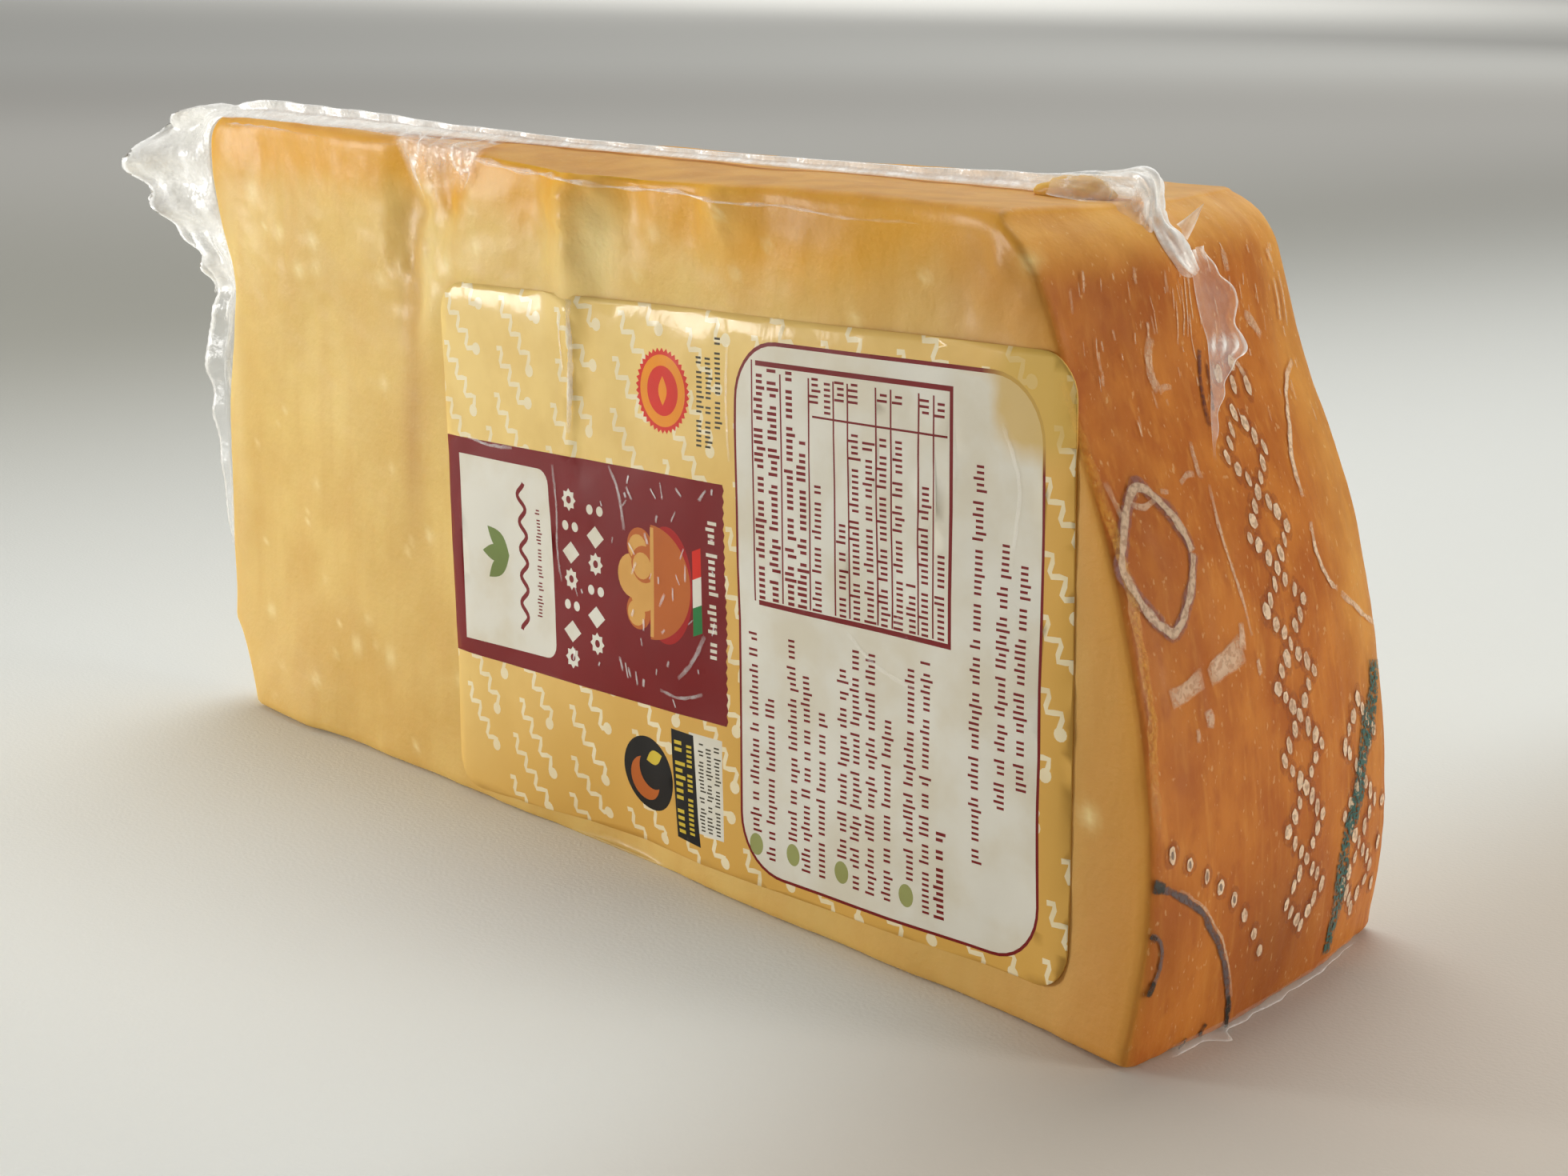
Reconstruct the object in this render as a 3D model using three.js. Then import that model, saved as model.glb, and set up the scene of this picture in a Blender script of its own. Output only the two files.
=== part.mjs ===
// A wedge of hard cheese in a clear vacuum pack with a printed label. Millimetres, +Z up.
// The wedge is cut from half the height of a wheel. X runs from its thin tip (-X) to its side rind (+X),
// and the labelled cut face looks towards -Y. It stands on the cut through the wheel's middle height,
// and its top is the wheel's flat rind. The clear skin clings to the cheese and is part of its solid.
// What stands off it is the welded seam, a thin strip of film in the wedge's middle plane.

import * as THREE from "three";
import { mergeVertices } from "three/addons/utils/BufferGeometryUtils.js";

// Driving dimensions of the wedge
const HEIGHT = 112;
const WHEEL_RADIUS = 228.2;
const TIP_WIDTH = 6;
const HALF_ANGLE = THREE.MathUtils.degToRad(7.9);
const EDGE_ROUND = 1.4;

// The side rind bulges out: widest just above the lower cut, and well inside that at the top,
// with a shallow hollow below its rounded shoulder
const BULGE_HEIGHT = 18;
const BULGE_DROP = 25.5;
const BULGE_POWER = 1.7;
const SHOULDER_ROUND = 8;
const SHOULDER_HOLLOW = { height: 88, reach: 14, depth: 1.9 };
const ROUND_LIMIT = 0.9;

// The thin tip is chipped at its lower end and rounded at its upper end, which juts out as a nose.
// Below the nose its end is hollow.
const TIP_CHIP_HEIGHT = 16;
const TIP_CHIP_DEPTH = 9.5;
const TIP_CHIP_POWER = 0.8;
const TIP_CROWN_ROUND = 5;
const TIP_REACH = 1.6;
const TIP_NOSE = { from: 88, to: 104, reach: 2.3 };
const TIP_HOLLOWS = [
  { height: 76, reach: 13, depth: 3.3 },
  { height: 83, reach: 6, depth: 1.8 },
];

// The near upper edge is worn down along its middle
const EDGE_WEAR = { along: 108, length: 38, drop: 2.6, rise: 0.9 };

// Crags, cracks and crumbs of a cut face: place along the face and up it, half sizes, and rise outwards
const NEAR_CRAGS = [
  { along: 60, up: 101, wide: 6, high: 17, rise: -1.7 },
  { along: 71, up: 106, wide: 4, high: 5, rise: -1.5 },
  { along: 66, up: 84, wide: 5, high: 9, rise: 0.9 },
  { along: 107, up: 107, wide: 7, high: 6, rise: 2.6 },
  { along: 105, up: 97, wide: 5, high: 10, rise: 2.1 },
  { along: 118, up: 107, wide: 5, high: 7, rise: -1.0 },
  { along: 141, up: 107, wide: 5, high: 5, rise: 1.7 },
  { along: 201, up: 106, wide: 7, high: 8, rise: 1.6 },
  { along: 190, up: 101, wide: 6, high: 6, rise: -0.7 },
  { along: 40, up: 20, wide: 9, high: 8, rise: 0.6 },
  { along: 24, up: 0, wide: 22, high: 14, rise: 2.2 },
  { along: 115, up: 0, wide: 20, high: 12, rise: -2.2 },
  { along: 226, up: 0, wide: 14, high: 14, rise: 1.6 },
];
const FAR_CRAGS = [
  { along: 46, up: 98, wide: 7, high: 14, rise: -1.6 },
  { along: 84, up: 60, wide: 16, high: 12, rise: 1.3 },
  { along: 97, up: 104, wide: 8, high: 8, rise: 2.2 },
  { along: 132, up: 31, wide: 20, high: 9, rise: -1.4 },
  { along: 163, up: 88, wide: 12, high: 18, rise: 1.6 },
  { along: 187, up: 52, wide: 9, high: 21, rise: -1.1 },
];
const WAVES = [
  { length: 74, height: 97, rise: 0.35, shift: 0.8 },
  { length: 41, height: 63, rise: 0.22, shift: 2.1 },
];

// The printed label, stuck slightly askew on the near face
const LABEL_LENGTH = 140.8;
const LABEL_HEIGHT = 88.4;
const LABEL_THICKNESS = 0.5;
const LABEL_CORNER = 6;
const LABEL_ALONG = 73.6;
const LABEL_UP = 1.4;
const LABEL_TILT = THREE.MathUtils.degToRad(2.35);

// The seam: how high it stands at places along its path, which starts on the tip, runs over the
// top and ends on the side rind. Rise is its angle in the middle plane, from 0 straight out of the
// tip over 90 straight up to 180, and lean folds it towards +Y.
const GAP = 0.35;
const FILM_THICKNESS = 0.5;
const SEAM_START_HEIGHT = 29;
const SEAM_END_HEIGHT = 80;
const SEAM_STEP = 3;
const SEAM_SHAPE = [
  { at: 0, height: 2.7, rise: 0, lean: 0 },
  { at: 13, height: 4.4, rise: 0, lean: 0 },
  { at: 28, height: 7, rise: 0, lean: 0 },
  { at: 35, height: 9.6, rise: 0, lean: 0 },
  { at: 41, height: 10.7, rise: 0, lean: 0 },
  { at: 46, height: 8.8, rise: 0, lean: 0 },
  { at: 57, height: 9.4, rise: 0, lean: -4 },
  { at: 62, height: 14.7, rise: 4, lean: -7 },
  { at: 68, height: 18.8, rise: 2, lean: -8 },
  { at: 74, height: 21.6, rise: 0, lean: -8 },
  { at: 79, height: 18.2, rise: 0, lean: -8 },
  { at: 84, height: 12.2, rise: 3, lean: -6 },
  { at: 87, height: 7.3, rise: 12, lean: -3 },
  { at: 90, height: 3.6, rise: 30, lean: 0 },
  { at: 93, height: 3, rise: 60, lean: 0 },
  { at: 97, height: 3.1, rise: 90, lean: 0 },
  { at: 120, height: 2.6, rise: 90, lean: 0 },
  { at: 150, height: 1.5, rise: 90, lean: 0 },
  { at: 175, height: 1, rise: 90, lean: 0 },
  { at: 205, height: 0.9, rise: 90, lean: 0 },
  { at: 240, height: 1.2, rise: 90, lean: 0 },
  { at: 266, height: 1.9, rise: 90, lean: 0 },
  { at: 276, height: 2.4, rise: 95, lean: 5 },
  { at: 284, height: 3.4, rise: 110, lean: 20 },
  { at: 293, height: 5, rise: 180, lean: 60 },
  { at: 303, height: 7, rise: 180, lean: 80 },
  { at: 311, height: 8.5, rise: 180, lean: 84 },
  { at: 319, height: 6, rise: 180, lean: 84 },
  { at: 334, height: 1.5, rise: 180, lean: 84 },
];
const SEAM_CRUMPLE = { share: 0.14, length: 10 };

// Mesh fineness
const CELLS_ALONG = 54;
const CELLS_ACROSS = 10;
const CELLS_UP = 28;
const LABEL_CELLS_ALONG = 32;
const LABEL_CELLS_UP = 20;
const SEAM_CELLS_HIGH = 3;

const EDGE_STEPS = [0, 0.35, 1];

// Grid stations from 0 to size: close together over the rounded ends, even between them
function stations(size, cells, round) {
  const ends = EDGE_STEPS.map((step) => step * round);
  const inner = cells - 2 * (ends.length - 1);
  const places = [...ends];
  for (let i = 1; i < inner; i += 1) {
    places.push(round + ((size - 2 * round) * i) / inner);
  }
  return [...places, ...ends.map((end) => size - end).reverse()];
}

function halfWidth(x) {
  return TIP_WIDTH / 2 + x * Math.tan(HALF_ANGLE);
}

function quarterRound(depthIn, radius) {
  const t = THREE.MathUtils.clamp(depthIn / radius, 0, ROUND_LIMIT);
  return radius * (1 - Math.sqrt(1 - t * t));
}

function hollow(feature, z) {
  return feature.depth * Math.exp(-(((z - feature.height) / feature.reach) ** 2));
}

function rindRadius(z) {
  const share = Math.abs(z - BULGE_HEIGHT) / (HEIGHT - BULGE_HEIGHT);
  const shoulder = quarterRound(z - (HEIGHT - SHOULDER_ROUND), SHOULDER_ROUND);
  return WHEEL_RADIUS - BULGE_DROP * share ** BULGE_POWER - shoulder - hollow(SHOULDER_HOLLOW, z);
}

function tipStart(z) {
  const chip = TIP_CHIP_DEPTH * Math.max(0, 1 - z / TIP_CHIP_HEIGHT) ** TIP_CHIP_POWER;
  const crown = quarterRound(z - (HEIGHT - TIP_CROWN_ROUND), TIP_CROWN_ROUND);
  const nose = TIP_NOSE.reach * THREE.MathUtils.smoothstep(z, TIP_NOSE.from, TIP_NOSE.to);
  const hollows = TIP_HOLLOWS.reduce((sum, feature) => sum + hollow(feature, z), 0);
  return chip + crown + hollows - nose - TIP_REACH;
}

function bump(feature, along, up) {
  const a = (along - feature.along) / feature.wide;
  const b = (up - feature.up) / feature.high;
  return feature.rise * Math.exp(-a * a - b * b);
}

// How far a cut face stands out from its plane
function faceRelief(crags, along, up) {
  let relief = 0;
  for (const crag of crags) {
    relief += bump(crag, along, up);
  }
  for (const wave of WAVES) {
    const a = (2 * Math.PI * along) / wave.length + wave.shift;
    const b = (2 * Math.PI * up) / wave.height + wave.shift;
    relief += wave.rise * Math.sin(a) * Math.cos(b);
  }
  return relief;
}

function topRelief(x, side) {
  const { along, length, drop, rise } = EDGE_WEAR;
  const towardsNear = THREE.MathUtils.smoothstep(-side, 0, 1);
  return towardsNear * (rise - drop * Math.exp(-(((x - along) / length) ** 2)));
}

// A point of the wedge's surface. Along runs 0 to WHEEL_RADIUS from the tip, side -1 to 1 from the
// near face to the far face, and up 0 to HEIGHT. Edges are rounded, then the box is bent to the wedge.
function wedgePoint(along, side, up) {
  const half = halfWidth(along);
  const point = new THREE.Vector3(along, side * half, up);
  const low = new THREE.Vector3(EDGE_ROUND, EDGE_ROUND - half, EDGE_ROUND);
  const high = new THREE.Vector3(WHEEL_RADIUS - EDGE_ROUND, half - EDGE_ROUND, HEIGHT - EDGE_ROUND);
  const core = point.clone().clamp(low, high);
  const normal = point.clone().sub(core).normalize();
  const rounded = core.addScaledVector(normal, EDGE_ROUND);

  const share = rounded.y / half;
  const z = rounded.z;
  const rindX = Math.sqrt(rindRadius(z) ** 2 - (share * halfWidth(WHEEL_RADIUS)) ** 2);
  const start = tipStart(z);
  const x = start + (rounded.x / WHEEL_RADIUS) * (rindX - start);
  const place = new THREE.Vector3(x, share * halfWidth(x), z);

  const faceAlong = x / Math.cos(HALF_ANGLE);
  const crags = normal.y < 0 ? NEAR_CRAGS : FAR_CRAGS;
  const outwards = Math.abs(normal.y) * faceRelief(crags, faceAlong, z);
  place.x -= outwards * Math.sin(HALF_ANGLE);
  place.y += Math.sign(normal.y) * outwards * Math.cos(HALF_ANGLE);
  place.z += Math.max(0, normal.z) * topRelief(x, share);
  return place;
}

function weld(geometry) {
  geometry.deleteAttribute("normal");
  geometry.deleteAttribute("uv");
  const welded = mergeVertices(geometry);
  welded.computeVertexNormals();
  return welded;
}

function cheeseGeometry() {
  const geometry = new THREE.BoxGeometry(1, 1, 1, CELLS_ALONG, CELLS_ACROSS, CELLS_UP);
  const alongs = stations(WHEEL_RADIUS, CELLS_ALONG, EDGE_ROUND);
  const sides = stations(2, CELLS_ACROSS, 2 * (EDGE_ROUND / halfWidth(WHEEL_RADIUS)));
  const ups = stations(HEIGHT, CELLS_UP, EDGE_ROUND);
  const position = geometry.attributes.position;
  const half = 1 / 2;
  for (let i = 0; i < position.count; i += 1) {
    const along = alongs[Math.round((position.getX(i) + half) * CELLS_ALONG)];
    const side = sides[Math.round((position.getY(i) + half) * CELLS_ACROSS)] - 1;
    const up = ups[Math.round((position.getZ(i) + half) * CELLS_UP)];
    const place = wedgePoint(along, side, up);
    position.setXYZ(i, place.x, place.y, place.z);
  }
  return weld(geometry);
}

// A closed sheet from a grid of front points and the same grid of back points
function sheetGeometry(front, back) {
  const rows = front.length;
  const columns = front[0].length;
  const points = [...front.flat(), ...back.flat()];
  const behind = rows * columns;
  const index = [];
  const quad = (a, b, c, d) => index.push(a, b, c, a, c, d);
  for (let r = 0; r < rows - 1; r += 1) {
    for (let c = 0; c < columns - 1; c += 1) {
      const corner = r * columns + c;
      quad(corner, corner + 1, corner + columns + 1, corner + columns);
      const other = corner + behind;
      quad(other + columns, other + columns + 1, other + 1, other);
    }
  }
  const rim = [];
  for (let c = 0; c < columns; c += 1) rim.push(c);
  for (let r = 1; r < rows; r += 1) rim.push(r * columns + columns - 1);
  for (let c = columns - 2; c >= 0; c -= 1) rim.push((rows - 1) * columns + c);
  for (let r = rows - 2; r > 0; r -= 1) rim.push(r * columns);
  rim.forEach((from, i) => {
    const to = rim[(i + 1) % rim.length];
    quad(from + behind, to + behind, to, from);
  });
  const geometry = new THREE.BufferGeometry();
  const flat = points.flatMap((point) => [point.x, point.y, point.z]);
  geometry.setAttribute("position", new THREE.Float32BufferAttribute(flat, 3));
  geometry.setIndex(index);
  geometry.computeVertexNormals();
  return geometry;
}

// The label lies on the near face: along the face is X here, outwards is -Y
function labelGeometry() {
  const half = { long: LABEL_LENGTH / 2, high: LABEL_HEIGHT / 2 };
  const rowPlaces = stations(LABEL_HEIGHT, LABEL_CELLS_UP, LABEL_CORNER);
  const layer = (offset) =>
    rowPlaces.map((up) => {
      const q = up - half.high;
      const intoCorner = Math.max(0, Math.abs(q) - (half.high - LABEL_CORNER));
      const reach = half.long - LABEL_CORNER + Math.sqrt(LABEL_CORNER ** 2 - intoCorner ** 2);
      const row = [];
      for (let i = 0; i <= LABEL_CELLS_ALONG; i += 1) {
        const p = half.long + reach * ((2 * i) / LABEL_CELLS_ALONG - 1);
        const x = LABEL_ALONG + p * Math.cos(LABEL_TILT) - up * Math.sin(LABEL_TILT);
        const z = LABEL_UP + p * Math.sin(LABEL_TILT) + up * Math.cos(LABEL_TILT);
        row.push(new THREE.Vector3(x, -offset - faceRelief(NEAR_CRAGS, x, z), z));
      }
      return row;
    });
  return sheetGeometry(layer(GAP + LABEL_THICKNESS), layer(GAP));
}

// The wedge's outline in its middle plane, from the tip over the top to the side rind
function seamPath() {
  const path = new THREE.CurvePath();
  const places = [];
  for (let up = SEAM_START_HEIGHT; up < HEIGHT; up += 1) places.push(wedgePoint(0, 0, up));
  for (let along = 0; along < WHEEL_RADIUS; along += 1) places.push(wedgePoint(along, 0, HEIGHT));
  for (let up = HEIGHT; up > SEAM_END_HEIGHT; up -= 1) places.push(wedgePoint(WHEEL_RADIUS, 0, up));
  for (let i = 1; i < places.length; i += 1) {
    if (places[i].distanceTo(places[i - 1]) > 0) {
      path.add(new THREE.LineCurve3(places[i - 1], places[i]));
    }
  }
  return path;
}

function seamShape(distance) {
  const last = SEAM_SHAPE.length - 1;
  let next = SEAM_SHAPE.findIndex((stop) => stop.at > distance);
  if (next < 0) next = last;
  const from = SEAM_SHAPE[next - 1];
  const to = SEAM_SHAPE[next];
  const t = THREE.MathUtils.clamp((distance - from.at) / (to.at - from.at), 0, 1);
  const blend = (key) => THREE.MathUtils.lerp(from[key], to[key], THREE.MathUtils.smoothstep(t, 0, 1));
  return {
    height: blend("height"),
    rise: THREE.MathUtils.degToRad(blend("rise")),
    lean: THREE.MathUtils.degToRad(blend("lean")),
  };
}

function seamGeometry() {
  const path = seamPath();
  const length = path.getLength();
  const steps = Math.round(length / SEAM_STEP);
  const acrossWedge = new THREE.Vector3(0, 1, 0);
  const front = [];
  const back = [];
  const corner = SEAM_STEP;
  for (let i = 0; i <= steps; i += 1) {
    const distance = (length * i) / steps;
    const before = path.getPointAt(Math.max(0, distance - corner) / length);
    const after = path.getPointAt(Math.min(length, distance + corner) / length);
    const tangent = after.sub(before).normalize();
    const normal = new THREE.Vector3(-tangent.z, 0, tangent.x);
    const { height, rise, lean } = seamShape(distance);
    const straight = new THREE.Vector3(-Math.cos(rise), 0, Math.sin(rise));
    const upwards = straight.clone().multiplyScalar(Math.cos(lean)).addScaledVector(acrossWedge, Math.sin(lean));
    const through = acrossWedge.clone().multiplyScalar(Math.cos(lean)).addScaledVector(straight, -Math.sin(lean));
    const foot = path.getPointAt(distance / length).addScaledVector(normal, GAP + FILM_THICKNESS);
    const frontRow = [];
    const backRow = [];
    for (let j = 0; j <= SEAM_CELLS_HIGH; j += 1) {
      const share = j / SEAM_CELLS_HIGH;
      const fold = SEAM_CRUMPLE.share * Math.cos(lean) * height * share;
      const ripple = fold * Math.sin((2 * Math.PI * distance) / SEAM_CRUMPLE.length + share);
      const middle = foot.clone().addScaledVector(upwards, height * share).addScaledVector(through, ripple);
      frontRow.push(middle.clone().addScaledVector(through, -FILM_THICKNESS / 2));
      backRow.push(middle.clone().addScaledVector(through, FILM_THICKNESS / 2));
    }
    front.push(frontRow);
    back.push(backRow);
  }
  return sheetGeometry(back, front);
}

function makeMesh(name, geometry, color, roughness) {
  const material = new THREE.MeshStandardMaterial({ color, roughness, metalness: 0 });
  const mesh = new THREE.Mesh(geometry, material);
  mesh.name = name;
  return mesh;
}

const cheese = makeMesh("cheese_wedge", cheeseGeometry(), 0xe2bd75, 0.35);
const label = makeMesh("label", labelGeometry(), 0xe9c46f, 0.4);
const seam = makeMesh("film_seam", seamGeometry(), 0xe4e6e2, 0.2);

const nearFace = new THREE.Group();
nearFace.position.set(0, -TIP_WIDTH / 2, 0);
nearFace.rotation.z = -HALF_ANGLE;
nearFace.add(label);

const pack = new THREE.Group();
pack.add(cheese, nearFace, seam);

// The origin is under the middle of the whole pack, on the surface that it stands on
pack.updateMatrixWorld(true);
const extent = new THREE.Box3().setFromObject(pack, true);
pack.position.set(-(extent.min.x + extent.max.x) / 2, -(extent.min.y + extent.max.y) / 2, -extent.min.z);

const part = new THREE.Group();
part.add(pack);

export default part;
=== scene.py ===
"""A wedge of hard cheese in a clear vacuum pack with a printed label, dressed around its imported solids.

Lengths are millimetres in the wedge's own frame until a mesh is made: X runs from the thin tip to the
side rind, the labelled face looks towards -Y, and Z is up from the surface that the wedge stands on.
"""
import math
import random

import bpy
import numpy as np
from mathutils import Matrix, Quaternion, Vector
from mathutils.geometry import delaunay_2d_cdt


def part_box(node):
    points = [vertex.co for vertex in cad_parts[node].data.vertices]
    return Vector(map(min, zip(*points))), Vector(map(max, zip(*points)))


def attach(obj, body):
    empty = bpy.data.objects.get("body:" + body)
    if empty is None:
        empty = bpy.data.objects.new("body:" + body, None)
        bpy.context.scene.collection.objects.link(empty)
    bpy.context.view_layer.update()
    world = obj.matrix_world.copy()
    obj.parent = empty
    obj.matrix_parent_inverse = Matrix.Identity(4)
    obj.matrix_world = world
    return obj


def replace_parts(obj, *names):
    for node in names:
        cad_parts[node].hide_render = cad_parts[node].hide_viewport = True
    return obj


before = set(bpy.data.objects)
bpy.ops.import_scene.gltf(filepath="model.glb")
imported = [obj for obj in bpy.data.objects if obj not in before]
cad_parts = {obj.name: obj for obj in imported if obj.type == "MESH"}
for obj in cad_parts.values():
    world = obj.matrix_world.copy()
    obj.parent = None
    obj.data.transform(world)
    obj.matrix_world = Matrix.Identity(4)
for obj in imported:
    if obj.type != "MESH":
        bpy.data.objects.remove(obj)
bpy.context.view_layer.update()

MM = 0.001

# The wedge's driving dimensions, the same as in the solids
HEIGHT = 112.0
WHEEL_RADIUS = 228.2
TIP_WIDTH = 6.0
HALF_ANGLE = math.radians(7.9)
EDGE_ROUND = 1.4
BULGE_HEIGHT = 18.0
BULGE_DROP = 25.5
BULGE_POWER = 1.7
SHOULDER_ROUND = 8.0
SHOULDER_HOLLOW = (88, 14, 1.9)
ROUND_LIMIT = 0.9
TIP_CHIP_HEIGHT = 16.0
TIP_CHIP_DEPTH = 9.5
TIP_CHIP_POWER = 0.8
TIP_CROWN_ROUND = 5.0
TIP_REACH = 1.6
TIP_NOSE = {"from": 88, "to": 104, "reach": 2.3}
TIP_HOLLOWS = [(76, 13, 3.3), (83, 6, 1.8)]
EDGE_WEAR = {"along": 108, "length": 38, "drop": 2.6, "rise": 0.9}
TAN = math.tan(HALF_ANGLE)
COS = math.cos(HALF_ANGLE)
SIN = math.sin(HALF_ANGLE)

# Crags of a cut face: place along it and up it, half sizes, and rise outwards
NEAR_CRAGS = [
    (60, 101, 6, 17, -1.7), (71, 106, 4, 5, -1.5), (66, 84, 5, 9, 0.9), (107, 107, 7, 6, 2.6),
    (105, 97, 5, 10, 2.1), (118, 107, 5, 7, -1.0), (141, 107, 5, 5, 1.7), (201, 106, 7, 8, 1.6),
    (190, 101, 6, 6, -0.7), (40, 20, 9, 8, 0.6), (24, 0, 22, 14, 2.2), (115, 0, 20, 12, -2.2),
    (226, 0, 14, 14, 1.6),
]
FAR_CRAGS = [
    (46, 98, 7, 14, -1.6), (84, 60, 16, 12, 1.3), (97, 104, 8, 8, 2.2), (132, 31, 20, 9, -1.4),
    (163, 88, 12, 18, 1.6), (187, 52, 9, 21, -1.1),
]
# Long waves of both cut faces: length along and up, rise and shift
WAVES = [(74, 97, 0.35, 0.8), (41, 63, 0.22, 2.1)]

# The label, stuck slightly askew on the near face
LABEL_LENGTH = 140.8
LABEL_HEIGHT = 88.4
LABEL_CORNER = 6.0
LABEL_ALONG = 73.6
LABEL_UP = 1.4
LABEL_TILT = math.radians(2.35)
LABEL_FRONT = 0.75
LABEL_BACK = 0.35

# The film's seam in the middle plane: height, rise and lean at distances along its path. Rise is its angle
# there, from 0 straight out of the tip over 90 straight up to 180, and lean folds it towards +Y.
GAP = 0.35
FILM_THICKNESS = 0.5
SEAM_START_HEIGHT = 29.0
SEAM_END_HEIGHT = 80.0
SEAM_SHAPE = [
    (0, 2.7, 0, 0), (13, 4.4, 0, 0), (28, 7, 0, 0), (35, 9.6, 0, 0), (41, 10.7, 0, 0),
    (46, 8.8, 0, 0), (57, 9.4, 0, -4), (62, 14.7, 4, -7), (68, 18.8, 2, -8), (74, 21.6, 0, -8),
    (79, 18.2, 0, -8), (84, 12.2, 3, -6), (87, 7.3, 12, -3), (90, 3.6, 30, 0), (93, 3, 60, 0),
    (97, 3.1, 90, 0), (120, 2.6, 90, 0), (150, 1.5, 90, 0), (175, 1, 90, 0), (205, 0.9, 90, 0),
    (240, 1.2, 90, 0), (266, 1.9, 90, 0), (276, 2.4, 95, 5), (284, 3.4, 110, 20), (293, 5, 180, 60),
    (303, 7, 180, 80), (311, 8.5, 180, 84), (319, 6, 180, 84), (334, 1.5, 180, 84),
]

# The photograph's view, as the camera's place and its angles
CAMERA_PLACE = Vector((386.7, -312.3, 148.4))
CAMERA_AZIMUTH = math.radians(38.94)
CAMERA_ELEVATION = math.radians(14.45)
CAMERA_ROLL = math.radians(1.02)
CAMERA_LENS = 58.9
CAMERA_SENSOR = 36.0
CAMERA_CLIP_START = 0.01


# Numbers

def smoothstep(low, high, value):
    t = np.clip((value - low) / (high - low), 0, 1)
    return t * t * (3 - 2 * t)


def lattice_value(ix, iy, iz, seed):
    """A number from -1 to 1 that whole numbers and a seed scramble to."""
    mixed = (ix * 374761393 + iy * 668265263 + iz * 2147483647 + seed * 144665) & 0xFFFFFFFF
    mixed = ((mixed ^ (mixed >> 13)) * 1274126177) & 0xFFFFFFFF
    return ((mixed ^ (mixed >> 16)) & 0xFFFF) / 0x7FFF - 1


def value_noise(x, y, z, seed):
    """Smooth noise from -1 to 1, with features about one unit long."""
    x, y, z = np.broadcast_arrays(*(np.asarray(v, float) for v in (x, y, z)))
    cells = [np.floor(v).astype(np.int64) for v in (x, y, z)]
    parts = [smoothstep(0, 1, v - cell) for v, cell in zip((x, y, z), cells)]
    total = np.zeros(x.shape)
    for corner in range(8):
        steps = [corner & 1, corner >> 1 & 1, corner >> 2 & 1]
        weight = 1.0
        for part, step in zip(parts, steps):
            weight = weight * (part if step else 1 - part)
        total += weight * lattice_value(*(cell + step for cell, step in zip(cells, steps)), seed)
    return total


def rough(x, y, z, seed, octaves=3):
    """Noise with finer and weaker copies of itself added."""
    return sum(
        value_noise(x * finer, y * finer, z * finer, seed + octave) / finer
        for octave, finer in enumerate(2.0 ** k for k in range(octaves))
    )


def wave(place, length, shift=0.0):
    return np.sin(2 * math.pi * place / length + shift)


def bell(distance, reach):
    """1 at no distance, falling softly to 0 beyond the reach."""
    return np.exp(-((distance / reach) ** 2))


def spot(along, up, place, height, wide, high):
    return bell(along - place, wide) * bell(up - height, high)


def spots_at(features, along, up):
    """The sum of soft spots: place, height, half sizes and strength of each."""
    return sum(strength * spot(along, up, *place) for *place, strength in features)


def blend(first, second, share):
    return first * (1 - share) + second * share


def fade(share, start, end):
    """1 over the middle of a share from 0 to 1, 0 at its ends."""
    return smoothstep(0, start, share) * smoothstep(0, end, 1 - share)


def grid(rows, columns):
    """Shares from 0 to 1 down the rows of a grid and over its columns."""
    return np.linspace(0, 1, rows)[:, None], np.linspace(0, 1, columns)[None, :]


def unit(vectors):
    return vectors / np.maximum(np.linalg.norm(vectors, axis=-1, keepdims=True), 1e-9)


def points_at(x, y, z):
    return np.stack(np.broadcast_arrays(x, y, z), -1)


def pushed(points, direction, distance):
    """The points, each moved in the direction by its own distance."""
    return points + np.asarray(direction) * distance[..., None]


# The wedge's surface

def half_width(x):
    return TIP_WIDTH / 2 + x * TAN


def quarter_round(depth_in, radius):
    t = np.clip(depth_in / radius, 0, ROUND_LIMIT)
    return radius * (1 - np.sqrt(1 - t * t))


def hollow(feature, z):
    height, reach, depth = feature
    return depth * bell(z - height, reach)


def rind_radius(z):
    share = np.abs(z - BULGE_HEIGHT) / (HEIGHT - BULGE_HEIGHT)
    shoulder = quarter_round(z - (HEIGHT - SHOULDER_ROUND), SHOULDER_ROUND)
    return WHEEL_RADIUS - BULGE_DROP * share ** BULGE_POWER - shoulder - hollow(SHOULDER_HOLLOW, z)


def tip_start(z):
    chip = TIP_CHIP_DEPTH * np.maximum(0, 1 - z / TIP_CHIP_HEIGHT) ** TIP_CHIP_POWER
    crown = quarter_round(z - (HEIGHT - TIP_CROWN_ROUND), TIP_CROWN_ROUND)
    nose = TIP_NOSE["reach"] * smoothstep(TIP_NOSE["from"], TIP_NOSE["to"], z)
    hollows = sum(hollow(feature, z) for feature in TIP_HOLLOWS)
    return chip + crown + hollows - nose - TIP_REACH


def face_relief(crags, along, up):
    relief = spots_at(crags, along, up)
    for length, height, rise, shift in WAVES:
        relief = relief + rise * wave(along, length, shift) * np.cos(2 * math.pi * up / height + shift)
    return relief


def top_relief(x, side):
    drop = EDGE_WEAR["drop"] * bell(x - EDGE_WEAR["along"], EDGE_WEAR["length"])
    return smoothstep(0, 1, -side) * (EDGE_WEAR["rise"] - drop)


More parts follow.
